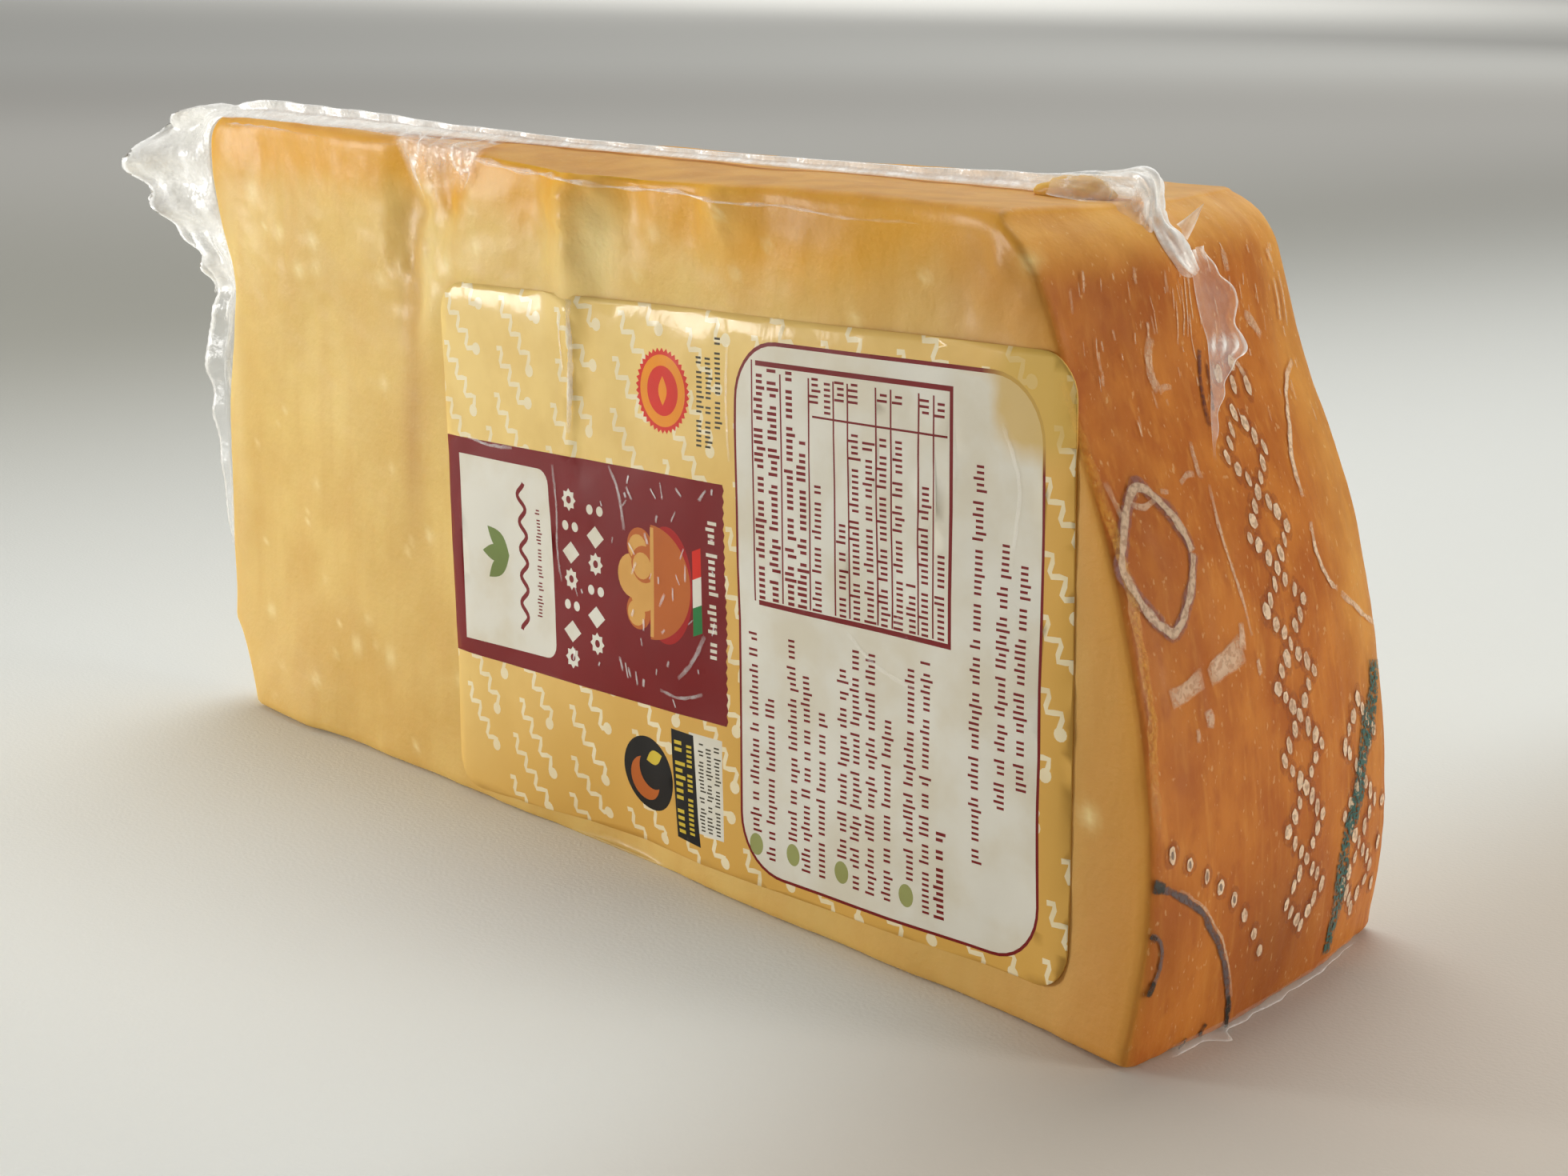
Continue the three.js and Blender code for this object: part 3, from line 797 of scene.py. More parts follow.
def build_rind_marks():
    generator = random.Random(17)
    dots = [place for chain in DOT_CHAINS for place in chain_dots(chain, generator)] + LOOSE_DOTS
    pale, bruises = [], []
    for across, up in dots:
        size = generator.uniform(0.85, 1.2)
        pale.append(oval_mark(across, up, 0.80 * size, 1.15 * size, generator.uniform(0.75, 1.0), generator))
        bruises.append(oval_mark(across, up, 1.6 * size, 2.0 * size, 0.25, generator))
    strokes = [(*stroke, 201 + seed) for seed, stroke in enumerate(PALE_STROKES)]
    for seed in range(FLECKS):
        across, up = generator.uniform(-28, 28), generator.triangular(78, 108, 102)
        length = generator.uniform(0.8, 3.2)
        line = [(across, up), (across + generator.uniform(-0.3, 0.1) * length, up - length)]
        strokes.append((line, generator.uniform(0.1, 0.3), generator.uniform(0.2, 0.55), 301 + seed))
    strokes += [(line, 0.16, 0.6, 231 + seed) for seed, line in enumerate(PLEAT_LINES)]
    strokes.append((RIM_LINE, 0.28, 0.45, 241))
    pale += [stroke_mark(*stroke) for stroke in strokes]

    power = RING["squareness"]
    ring = []
    for angle in np.linspace(0, 2 * math.pi, 33):
        cos, sin = math.cos(angle), math.sin(angle)
        reach = (abs(cos) ** power + abs(sin) ** power) ** (-1 / power)
        ring.append((
            RING["across"] + RING["half_wide"] * reach * cos,
            RING["up"] + RING["half_high"] * reach * sin,
        ))
    darks = [[], [], []]
    for seed, (line, half_wide, cover, kind) in enumerate(DARK_STROKES):
        darks[kind].append(stroke_mark(line, half_wide, cover, 261 + seed, 0.12))
    for across, up in BRUISED_DOTS:
        darks[1].append(oval_mark(across, up, 0.36, 0.55, 0.55, generator))

    mark_piece("rind_bruises", bruises, BRUISE, 0.10)
    mark_piece("rind_ring", [stroke_mark(ring, 1.25, 0.62, 251, 0.01)], PURPLE, 0.12)
    mark_piece("rind_marks", pale + [stroke_mark(ring, 0.72, 0.62, 252, 0.01)], SCAR, 0.15)
    mark_piece("rind_cut_ends", darks[0], BLACKENED, 0.2)
    mark_piece("rind_cuts", darks[1], GREYED, 0.17)
    mark_piece("rind_slits", darks[2], DARKENED, 0.17)
    # Painted highlight along the rind's edge with the near face
    mark_piece("rind_corner_highlight", [stroke_mark(CORNER_HIGHLIGHT_LINE, 1.1, 0.4, 281)], EDGE_HIGHLIGHT, 0.13)
    mark_piece("rind_ink", [stroke_mark(INK_STRIPE, 2.2, 1.0, 282, 0.05)], INK, 0.18)


# The label's print: places along the label (p) and up it (q), both from its lower left corner

LINE_HEIGHT = 1.35
TALL_LETTER = 1.95
TICK = 0.38
TICK_STEP = 0.84
HEAVY_WIDTH = 1.3
HEAVY_STEP = 1.08
TALL_SHARE = 0.28
LOW_SHARE = 0.08
RULE = 0.32
PAPER_STEP = 1.9

INKS = {
    "ground": (246, 213, 132),
    "script": (248, 233, 194),
    "wine": (126, 18, 18),
    "white": (232, 228, 214),
    "leaf": (118, 136, 70),
    "ember": (176, 28, 22),
    "crust": (196, 104, 40),
    "crumb": (226, 170, 88),
    "orange": (244, 150, 10),
    "red": (222, 40, 16),
    "black": (26, 24, 24),
    "lettering": (70, 62, 44),
    "flag_green": (44, 128, 66),
    "bullet": (158, 162, 98),
    "gold": (222, 196, 64),
}

# Text lines of the information panel: place, lower end, upper end, and 1 for heavy type
PANEL_LINES = [
    (80.0, 46, 81.5, 1), (83.0, 46, 81.5, 1), (86.4, 46, 81, 1), (89.1, 46, 71.5, 1),
    (92.2, 46, 65.5, 0), (91.8, 76.8, 80.6, 0), (94.4, 75.5, 80.6, 0),
    (97.2, 46, 60, 0), (97.2, 77.6, 80.6, 0), (100.0, 77.6, 80.6, 0),
    (100.0, 46, 73.5, 0), (102.8, 46, 72.5, 0), (105.6, 46, 73.5, 0), (105.8, 78.4, 80.4, 0),
    (108.7, 46, 73.5, 0), (108.7, 78.4, 80.4, 0), (111.3, 46, 53.8, 0),
    (113.8, 46, 67.8, 0), (113.8, 77.6, 80.4, 0), (117.0, 46, 58.2, 0), (116.8, 77.4, 80.2, 0),
    (77.8, 9, 40.5, 0), (81.3, 5, 31.2, 0),
    (86.2, 9.3, 41, 0), (89.1, 5, 37.2, 0), (92.4, 5, 31.4, 0),
    (97.0, 9.2, 38.6, 0), (99.7, 5, 41.7, 0), (103.0, 5, 42.2, 0), (106.4, 5, 32.3, 0),
    (111.0, 9.3, 41.2, 0), (114.2, 5, 42.5, 0), (117.0, 4.8, 19.5, 1),
    (123.9, 15, 72.2, 0), (128.7, 24, 62.7, 0), (132.2, 27.4, 59.2, 0),
]
PANEL_BULLETS = [(77.8, 6.9), (85.9, 7.0), (96.6, 6.9), (110.3, 6.8)]
TABLE_RULES = [84.6, 90.5, 95.7, 98.6, 104.3, 107.2, 112.5, 115.4]
TABLE = {"left": 78.2, "right": 119.0, "low": 45.0, "high": 82.0, "divider": 74.7}

# The paper's crease and a greasy spot on it, and the middles of the round seal and the bowl
CREASE = {"p": 35.9, "q": 86.9, "slant": 0.067}
GREASE = {"p": 134.5, "q": 81.5, "half_wide": 8.5, "half_high": 8.0, "cover": 0.8}
SEAL = (57.4, 75.2)
BOWL = (54.6, 44.6)


def arc(p, q, radius, start, end, steps):
    angles = np.radians(np.linspace(start, end, steps + 1))
    return [(p + radius * math.cos(angle), q + radius * math.sin(angle)) for angle in angles]


def box(p_low, q_low, p_high, q_high, corner=0.0, steps=6):
    if corner == 0:
        return [(p_low, q_low), (p_high, q_low), (p_high, q_high), (p_low, q_high)]
    centres = [
        (p_high - corner, q_low + corner, -90),
        (p_high - corner, q_high - corner, 0),
        (p_low + corner, q_high - corner, 90),
        (p_low + corner, q_low + corner, 180),
    ]
    return [point for p, q, start in centres for point in arc(p, q, corner, start, start + 90, steps)]


def disc(p, q, radius, teeth=0, tooth=0.0, steps=48, squeeze=1.0):
    """A disc, or a toothed one. Squeeze narrows it along p."""
    outline = []
    count = 2 * teeth or steps
    for i in range(count):
        reach = radius + (tooth if teeth and i % 2 else 0)
        angle = 2 * math.pi * i / count
        outline.append((p + squeeze * reach * math.cos(angle), q + reach * math.sin(angle)))
    return outline


def turned(p, q, along, off, angle):
    """The place at a distance along a direction from p and q, and off it to its left."""
    cos, sin = math.cos(angle), math.sin(angle)
    return p + along * cos - off * sin, q + along * sin + off * cos


def ribbon(line, width):
    """The outline of a stroke of even width along a line of points."""
    left, right = [], []
    for i, (p, q) in enumerate(line):
        before, after = line[max(i - 1, 0)], line[min(i + 1, len(line) - 1)]
        angle = math.atan2(after[1] - before[1], after[0] - before[0])
        left.append(turned(p, q, 0, width / 2, angle))
        right.append(turned(p, q, 0, -width / 2, angle))
    return left + right[::-1]


def text_line(ink, p, q_low, q_high, heavy, generator, height=LINE_HEIGHT, tall=TALL_LETTER):
    """Plain ticks in word lengths, running up the label like a line of small print."""
    shapes = []
    width, step = (HEAVY_WIDTH * TICK, HEAVY_STEP * TICK_STEP) if heavy else (TICK, TICK_STEP)
    width, step = width * height / LINE_HEIGHT, step * height / LINE_HEIGHT
    q = q_low
    left_in_word = generator.randint(3, 9)
    while q + width < q_high:
        if left_in_word == 0:
            left_in_word = generator.randint(2, 10)
        else:
            above = tall - height if generator.random() < TALL_SHARE else 0.0
            below = 0.4 * height if generator.random() < LOW_SHARE else 0.0
            shapes.append((ink, box(p - height / 2 - above, q, p + height / 2 + below, q + width)))
            left_in_word -= 1
        q += step
    return shapes


def wavy_stroke(p, q, length, direction, wave_length, height, width):
    """A wavy stroke that starts at a place and ends in a round drop."""
    steps = int(length / 0.7)
    line = []
    for i in range(steps + 1):
        t = length * i / steps
        line.append(turned(p, q, t, height * math.sin(2 * math.pi * t / wave_length), direction))
    return [("script", ribbon(line, width)), ("script", disc(*line[-1], 1.25 * width, steps=12))]


def background_print():
    """Pale wavy strokes in slanting rows over the label's ground."""
    shapes = []
    direction = math.radians(-51)
    generator = random.Random(3)
    row_step, along_step = 7.6, 19.0
    for row in range(-7, 24):
        for place in range(-1, 9):
            t = along_step * (place + 0.5 * (row % 2)) + generator.uniform(-1.2, 1.2)
            p, q = turned(row * row_step - 10, LABEL_HEIGHT + 12, t, 0, direction)
            length = generator.uniform(11, 14)
            if -16 < p < LABEL_LENGTH + 4 and -4 < q < LABEL_HEIGHT + 14:
                shapes += wavy_stroke(p, q, length, direction, 3.6, 1.05, 0.85)
    return shapes


def title_panel():
    """The dark red panel: a white field with a leaf, two rows of plain shapes and a picture of a bowl."""
    generator = random.Random(5)
    right_edge = [(71.3 + 0.35 * (i % 2), 24.3 + (62.3 - 24.3) * i / 44) for i in range(45)]
    field = [(3.6, 26.9)] + arc(26.4, 29.9, 2.6, -90, 0, 5) + arc(25.6, 56.6, 2.6, 0, 90, 5) + [(3.6, 59.3)]
    underline = [(20.6 + 0.9 * math.sin(2 * math.pi * q / 4.6), q) for q in np.arange(31, 56.2, 0.4)]
    shapes = [("wine", [(0, 24.2)] + right_edge + [(0, 62.1)]), ("white", field)]
    shapes += [("leaf", leaf(16.6, 43.2, 7.2, 1.5, 180 + turn)) for turn in (-38, 0, 38)]
    shapes.append(("wine", ribbon(underline, 0.85)))
    shapes += text_line("wine", 24.9, 34, 53, 0, generator, 0.9, 1.2)
    shapes += title_row(33.7, 26.5, 60.5, 0) + title_row(40.4, 30.0, 58.0, 3) + bowl_picture()
    for name, low in (("flag_green", 37.4), ("white", 41.9), ("red", 46.4)):
        shapes.append((name, [(63.9, low), (65.9, low + 0.8), (65.9, low + 5.3), (63.9, low + 4.5)]))
    return shapes + text_line("white", 68.4, 34.5, 57.5, 1, generator, 1.5, 2.0)


def leaf(p, q, length, half_wide, angle):
    shares = [i / 9 for i in range(9)]
    sides = [(t, half_wide) for t in shares] + [(1 - t, -half_wide) for t in shares]
    return [turned(p, q, length * t, half * math.sin(math.pi * t), math.radians(angle)) for t, half in sides]


def title_row(p, q_low, q_high, first):
    """A row of toothed rounds, lozenges and small pairs of dots, white on the panel."""
    size, step = 2.3, 4.4
    shapes = []
    for i in range(int((q_high - q_low) / step)):
        q = q_low + step * (i + 0.5)
        kind = (i + first) % 3
        if kind == 0:
            shapes.append(("white", disc(p, q, 0.82 * size, teeth=8, tooth=-0.5)))
            shapes.append(("wine", disc(p, q, 0.28 * size, steps=14)))
        elif kind == 1:
            shapes.append(("white", [(p - size, q), (p, q - 0.8 * size), (p + size, q), (p, q + 0.8 * size)]))
        else:
            for shift in (-0.55, 0.55):
                shapes.append(("white", disc(p + shift * size, q, 0.36 * size, steps=16)))
    return shapes


def bowl_picture():
    """A brown bowl heaped with golden lumps, its upper side towards the label's left."""
    p, q = BOWL
    shapes = [("ember", disc(p + 3.4, q, 9.4, steps=40, squeeze=0.62))]
    heap = [(-3.4, -5.2, 2.9), (-4.8, 0.4, 3.6), (-3.0, 5.4, 3.0), (-2.2, -1.8, 3.2), (-2.0, 2.6, 3.0)]
    for i, (dp, dq, size) in enumerate(heap):
        shapes.append(("crumb" if i % 2 else "crust", disc(p + dp, q + dq, size, steps=22)))
        shapes.append(("crumb", disc(p + dp - 0.5, q + dq - 0.3, 0.72 * size, steps=18)))
    rim = [(p - 0.1, q - 8.8), (p - 0.1, q + 8.8)]
    return shapes + [("crust", arc(p - 0.4, q, 9.2, -90, 90, 26)), ("crumb", ribbon(rim, 0.8))]


def seals():
    """A toothed round seal, a dark disc and box, and small print beside them."""
    generator = random.Random(9)
    shapes = [
        ("red", disc(*SEAL, 6.1, teeth=38, tooth=0.6)),
        ("orange", disc(*SEAL, 5.6)),
        ("red", disc(*SEAL, 3.9)),
        ("orange", leaf(57.4, 72.9, 4.6, 1.1, 90)),
    ]
    for p, low in ((66.3, 67.6), (68.4, 67.6), (70.6, 70.8)):
        shapes += text_line("lettering", p, low, low + 14.5, 0, generator, 1.2, 1.2)
    shapes += [
        ("black", disc(51.9, 12.6, 6.3)),
        ("crust", disc(50.9, 11.6, 3.7, steps=30)),
        ("black", disc(52.9, 13.4, 3.3, steps=30)),
        ("gold", leaf(51.6, 14.9, 4.4, 1.2, 20)),
        ("white", box(62.6, 5.4, 70.3, 21.8)),
        ("black", [(58.3, 3.4), (64.4, 3.0), (63.6, 21.4), (58.4, 21.6)]),
    ]
    shapes += text_line("gold", 59.9, 4.4, 20.8, 1, generator, 1.7, 1.7)
    shapes += text_line("gold", 62.5, 4.6, 19.6, 1, generator, 1.2, 1.2)
    for p in (65.4, 67.2, 69.1):
        shapes += text_line("lettering", p, 6.0, 20.8, 0, generator, 0.95, 1.2)
    return shapes


def information_panel():
    """The white panel with a dark red border: a table, paragraphs and an address in plain ticks."""
    generator = random.Random(11)
    shapes = [("wine", box(74.3, 2.0, 135.7, 85.0, 9.3, 9)), ("white", box(74.8, 2.5, 135.2, 84.4, 8.8, 9))]
    left, right, low, high, divider = TABLE.values()
    bars = [
        (left, low + 0.5, left + RULE, high), (right - 2 * RULE, low, right, high),
        (left + 1, high - 2.4 * RULE, right, high), (left + 1, low, right, low + 2.4 * RULE),
    ]
    bars += [(p - RULE / 2, low + 1, p + RULE / 2, high - 1.6) for p in TABLE_RULES]
    bars.append((TABLE_RULES[1] + 0.7, divider, right - 1, divider + RULE))
    shapes += [("wine", box(*bar)) for bar in bars]
    for line in PANEL_LINES:
        shapes += text_line("wine", *line, generator)
    return shapes + [("bullet", disc(p, q, 1.75, steps=20, squeeze=0.85)) for p, q in PANEL_BULLETS]


def turned_left(outline):
    """The outline with its points in anticlockwise order."""
    area = sum(a[0] * b[1] - b[0] * a[1] for a, b in zip(outline, outline[1:] + outline[:1]))
    return outline if area > 0 else outline[::-1]


def label_points(p, q, lift):
    """Points over the label, following the cheese under it and the paper's own creases."""
    cos, sin = math.cos(LABEL_TILT), math.sin(LABEL_TILT)
    along = LABEL_ALONG + p * cos - q * sin
    up = LABEL_UP + p * sin + q * cos
    edge = np.maximum(np.minimum.reduce([p, LABEL_LENGTH - p, q, LABEL_HEIGHT - q]), 0)
    own = -0.33 * np.exp(-edge / 1.5)
    if lift == LABEL_FRONT:
        from_crease = p - CREASE["p"] + (CREASE["q"] - q) * CREASE["slant"]
        crease = 0.65 * bell(from_crease, 0.8) * smoothstep(56, 70, q)
        dent = -0.30 * bell(from_crease - 3.2, 2.2) * smoothstep(50, 72, q)
        waves = 0.16 * rough(p / 15, q / 11, 0, 21, 2) + 0.07 * value_noise(p / 4, q / 7, 0, 22)
        curl = 0.22 * np.exp(-edge / 1.2) * value_noise(p / 9, q / 9, 0, 23) ** 2
        own = crease + dent + waves + curl - 0.55 * np.exp(-edge / 1.5)
    return near_face_points(along, up, lift + face_relief(NEAR_CRAGS, along, up) + own)


def ink_material(name, ink):
    """Satin printed paper under film. Grease makes it uneven, and painted shade turns the ground darker and
    more golden towards the label's right and lower edges.
    """
    shader = Shader("label_" + name)
    worn = tuple(value * share for value, share in zip(ink, (0.96, 0.94, 0.9)))
    layers = [(shader.rise(shader.noise(11, 4), 0.35, 0.7), worn)]
    # Painted shade: the ground turns darker and more golden towards the label's right and lower edges
    if name == "ground":
        layers.append((shader.attribute("gold"), (224, 174, 84)))
    layers.append((shader.attribute("grease"), (214, 176, 84)))
    return shader.finish(
        Base_Color=shader.layers(ink, *layers),
        Roughness=0.5,
        Normal=shader.bump(shader.noise(0.35, 3), 0.01),
        Specular_IOR_Level=0.12,
        Coat_Weight=0.16,
        Coat_Roughness=0.14,
        Coat_Normal=film_gloss(shader, 0.13),
    )


def build_label():
    """One sheet: each shape of the print is cut into the same mesh, and its faces take its ink."""
    shapes = [("ground", box(0, 0, LABEL_LENGTH, LABEL_HEIGHT, LABEL_CORNER, 8))]
    shapes += background_print() + title_panel() + seals() + information_panel()

    places, outlines = [], []
    for _, outline in shapes:
        outlines.append(list(range(len(places), len(places) + len(outline))))
        places += turned_left(outline)
    columns, rows = (np.arange(PAPER_STEP, size, PAPER_STEP) for size in (LABEL_LENGTH, LABEL_HEIGHT))
    places += [(p, q) for p in columns for q in rows]
    places = [Vector((float(p), float(q))) for p, q in places]
    flat, _, triangles, _, _, owners = delaunay_2d_cdt(places, [], outlines, 0, 1e-5)

    names = list(INKS)
    kept, inks = [], []
    for triangle, owner in zip(triangles, owners):
        if 0 in owner:
            kept.append(triangle)
            inks.append(names.index(shapes[max(owner)][0]))
    used = sorted({corner for triangle in kept for corner in triangle})
    renumber = {corner: i for i, corner in enumerate(used)}
    front_faces = [tuple(renumber[corner] for corner in triangle) for triangle in kept]
    p = np.array([flat[corner].x for corner in used])
    q = np.array([flat[corner].y for corner in used])

    points = np.concatenate([label_points(p, q, LABEL_FRONT), label_points(p, q, LABEL_BACK)])
    behind = len(used)
    directed = {(a, b) for face in front_faces for a, b in zip(face, face[1:] + face[:1])}
    rim = sorted(edge for edge in directed if (edge[1], edge[0]) not in directed)
    faces = list(front_faces)
    faces += [tuple(corner + behind for corner in reversed(face)) for face in front_faces]
    faces += [(b, a, a + behind, b + behind) for a, b in rim]
    inks += [0] * (len(front_faces) + len(rim))
    materials = [ink_material(name, INKS[name]) for name in names]
    piece = make_piece("label_sheet", points, faces, materials, inks)
    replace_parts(piece, "label")
    # The share of painted shade on the ground, growing towards the label's right and lower edges
    set_attribute(piece, "gold", np.tile(smoothstep(-0.6, 0.4, 0.008 * p - 0.012 * q), 2))
    from_spot = np.hypot((p - GREASE["p"]) / GREASE["half_wide"], (q - GREASE["q"]) / GREASE["half_high"])
    grease = GREASE["cover"] * smoothstep(1.25, 0.75, from_spot + 0.16 * rough(p / 5, q / 5, 0, 25, 2))
    set_attribute(piece, "grease", np.tile(grease, 2))


# Highlights on the film over the label: places p and q, half width and share of white
GLINTS = [
    ([(36.6, 88.0), (36.2, 83.0), (35.7, 78.0), (35.2, 72.0), (34.6, 66.0)], 0.4, 0.5),
    ([(33.4, 86.0), (33.0, 81.0), (33.3, 76.0)], 0.25, 0.3),
    ([(29.6, 60.5), (30.4, 54.0), (30.0, 47.0), (31.0, 41.0)], 0.3, 0.3),
    ([(44.0, 62.0), (46.5, 58.0), (48.0, 52.0)], 0.35, 0.3),
    ([(60.5, 30.0), (64.0, 33.5), (66.5, 38.0)], 0.4, 0.3),
    ([(56.0, 27.5), (61.0, 27.0), (66.0, 28.5)], 0.3, 0.3),
    ([(6.0, 62.5), (12.0, 61.6), (19.0, 61.9)], 0.3, 0.3),
    ([(73.0, 84.0), (72.6, 76.0), (73.2, 66.0)], 0.3, 0.25),
    ([(98.0, 44.0), (104.0, 40.0), (112.0, 38.0)], 0.4, 0.2),
    ([(128.0, 78.0), (131.0, 70.0), (130.0, 60.0)], 0.4, 0.2),
]
SMALL_GLINTS = 45
GLINT_LIFT = 0.12


def build_glints():
    """Creased highlights of the film that clings to the label."""
    generator = random.Random(23)
    strokes = list(GLINTS)
    for _ in range(SMALL_GLINTS):
        p, q = generator.triangular(28, 72, 60), generator.uniform(25, 61)
        length, turn = generator.uniform(0.8, 3.0), generator.uniform(0.6, 2.4)
        line = [(p, q), turned(p, q, length, 0, turn)]
        strokes.append((line, generator.uniform(0.12, 0.3), generator.uniform(0.25, 0.55)))
    patches = []
    for seed, stroke in enumerate(strokes):
        p, q, milk = stroke_mark(*stroke, 401 + seed)
        patches.append((label_points(p, q, LABEL_FRONT) + GLINT_LIFT * np.array([-SIN, -COS, 0.0]), milk))
    patch_piece("film_glints", patches, FILM)


# The film where it stands off the cheese: sheets with a share of white, called milk, at each point

RIM_STEP = 0.06
SEAM_STEP = 0.75
TENT_LENGTH = 34
ROPE_LENGTH = 26
LOOSE_END_LENGTH = 29
VEIL_ALONG = (1.5, 61.5)
WEB_AT_SEAM = (44, 78)
WEB_AT_EDGE = (57, 84)
WEB_ON_FACE = {"along": (63, 79), "up": (101, 104)}
FOLD_ALONG = (72, 182)
SKIRT_ACROSS = (-28, 28)
SKIRT_FLAP = {"across": -17, "half_wide": 1.7, "length": 2.6}
CRUMB_PLACE = (188.0, -2.4, 112.6)
CRUMB_SIZE = (6.0, 2.6, 2.5)
ACROSS = np.array([0.0, 1.0, 0.0])


def crease_lines(first, second, seed, sharpness=0.82):
    """1 on the branching lines where noise crosses zero, 0 between them."""
    return smoothstep(sharpness, 1.0, 1 - np.abs(rough(first, second, 0, seed, 2)))


def smooth_line(stops, share):
    """Rows of numbers interpolated smoothly, at shares from 0 to 1 of the list."""
    stops = np.array(stops, float)
    last = len(stops) - 1
    place = np.clip(share, 0, 1) * last
    low = np.clip(np.floor(place).astype(int), 0, last - 1)
    t = (place - low)[..., None]
    before, start, end, after = (stops[np.clip(low + step, 0, last)] for step in (-1, 0, 1, 2))
    turn_in, turn_out = (end - before) / 2, (after - start) / 2
    square = 3 * (end - start) - 2 * turn_in - turn_out
    return start + turn_in * t + square * t ** 2 + (2 * (start - end) + turn_in + turn_out) * t ** 3


def seam_line(distances):
    """Points and forward directions along the wedge's outline in its middle plane."""
    ups = np.arange(SEAM_START_HEIGHT, HEIGHT, 1.0)
    alongs = np.arange(0, WHEEL_RADIUS, 1.0)
    downs = np.arange(HEIGHT, SEAM_END_HEIGHT, -1.0)
    along = np.concatenate([0 * ups, alongs, WHEEL_RADIUS + 0 * downs])
    line, _ = wedge_points(along, 0 * along, np.concatenate([ups, HEIGHT + 0 * alongs, downs]))
    lengths = np.concatenate([[0], np.cumsum(np.linalg.norm(np.diff(line, axis=0), axis=1))])

    def at(distance):
        return np.stack([np.interp(distance, lengths, line[:, axis]) for axis in range(3)], -1)

    return at(distances), unit(at(distances + 3) - at(distances - 3))


def seam_shape(distances):
    stops = np.array(SEAM_SHAPE, float)
    place = np.clip(np.searchsorted(stops[:, 0], distances, side="right") - 1, 0, len(stops) - 2)
    low, high = stops[place], stops[place + 1]
    share = smoothstep(0, 1, (distances - low[:, 0]) / (high[:, 0] - low[:, 0]))
    height, rise, lean = (low + (high - low) * share[:, None])[:, 1:].T
    return height, np.radians(rise), np.radians(lean)


def seam_sheet(name, start, end, taller=1.0, turn=0.0, seed=31):
    """The two film layers that meet in the seam, from one side's foot over the edge to the other's."""
    distances = np.arange(start, end, SEAM_STEP)
    s, sides = distances[:, None], np.linspace(-1, 1, 37)[None, :]
    share = 1 - np.abs(sides)
    line, forward = seam_line(distances)
    height, rise, lean = seam_shape(distances)
    h, lean = ((height + FILM_THICKNESS) * taller)[:, None], (lean + turn)[:, None]
    normal = points_at(-forward[:, 2], 0, forward[:, 0])
    straight = points_at(-np.cos(rise), 0, np.sin(rise))
    upwards = straight * np.cos(lean) + ACROSS * np.sin(lean)
    through = ACROSS * np.cos(lean) - straight * np.sin(lean)

    crumpled = smoothstep(47, 60, s) * (1 - smoothstep(80, 96, s))
    ragged = 1 + 0.16 * crumpled * value_noise(s / 2.6, 0, 0, seed)
    pleats = (0.05 + 0.09 * smoothstep(40, 55, s)) * h * share * wave(s, 10, share) * np.cos(lean)
    fine = (0.10 + 0.9 * crumpled) * share * rough(s / 3.4, share * h / 3.2, 0, seed + 1, 2)
    fine = fine + 0.07 * share * wave(s, 1.7) * (1 - crumpled)
    spread = np.interp(s, [0, 70, 83, 120, 160, 250, 275], [1.9, 2.3, 2.6, 3.6, 1.4, 0.9, 1.6])
    spread = spread * (1 - smoothstep(0, 0.55, share)) + RIM_STEP
    points = pushed((line + GAP * normal)[:, None, :], upwards[:, None, :], h * share * ragged)
    points = pushed(points, ACROSS, np.sign(sides) * spread)
    points = pushed(points, through[:, None, :], pleats + fine)

    milk = np.interp(s, [0, 30, 48, 60, 85, 100, 130, 170, 280], [.1, .11, .18, .46, .62, .76, .8, .78, .78])
    milk = milk + (0.10 + 0.55 * crumpled) * crease_lines(s / 7, share * h / 3.6, seed + 3)
    holes = crumpled * smoothstep(0.25, 0.7, value_noise(s / 5, share * h / 5, 0, seed + 5))
    milk = milk * (1 - 0.5 * holes) + (0.35 + 0.4 * smoothstep(30, 45, s)) * smoothstep(0.86, 0.96, share)
    # Painted highlight: a bright line along the seam over the top, where the backlit film catches the light
    highlight_span = smoothstep(150, 190, s) * (1 - smoothstep(276, 286, s))
    milk = milk + 0.7 * highlight_span * smoothstep(0.05, 0.0, np.abs(share - 0.60))
    milk = milk + 0.4 * smoothstep(0.05, 0.0, np.abs(share - 0.35 + 0.08 * np.sin(s / 9))) * (s < 60)
    milk = milk * (1 - 0.4 * smoothstep(0.25, 0.0, share) * (1 - crumpled))
    milk = milk * smoothstep(start - 1, start + 4, s) * (1 - smoothstep(end - 5, end, s))
    return film_sheet(name, points, milk)


def build_seam():
    for piece in (
        seam_sheet("film_seam_sheet", 0, 286),
        seam_sheet("film_corner_fold", 44, 92, 0.82, math.radians(14), 61),
        seam_sheet("film_corner_pleat", 50, 88, 0.9, math.radians(-11), 81),
    ):
        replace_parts(piece, "film_seam")


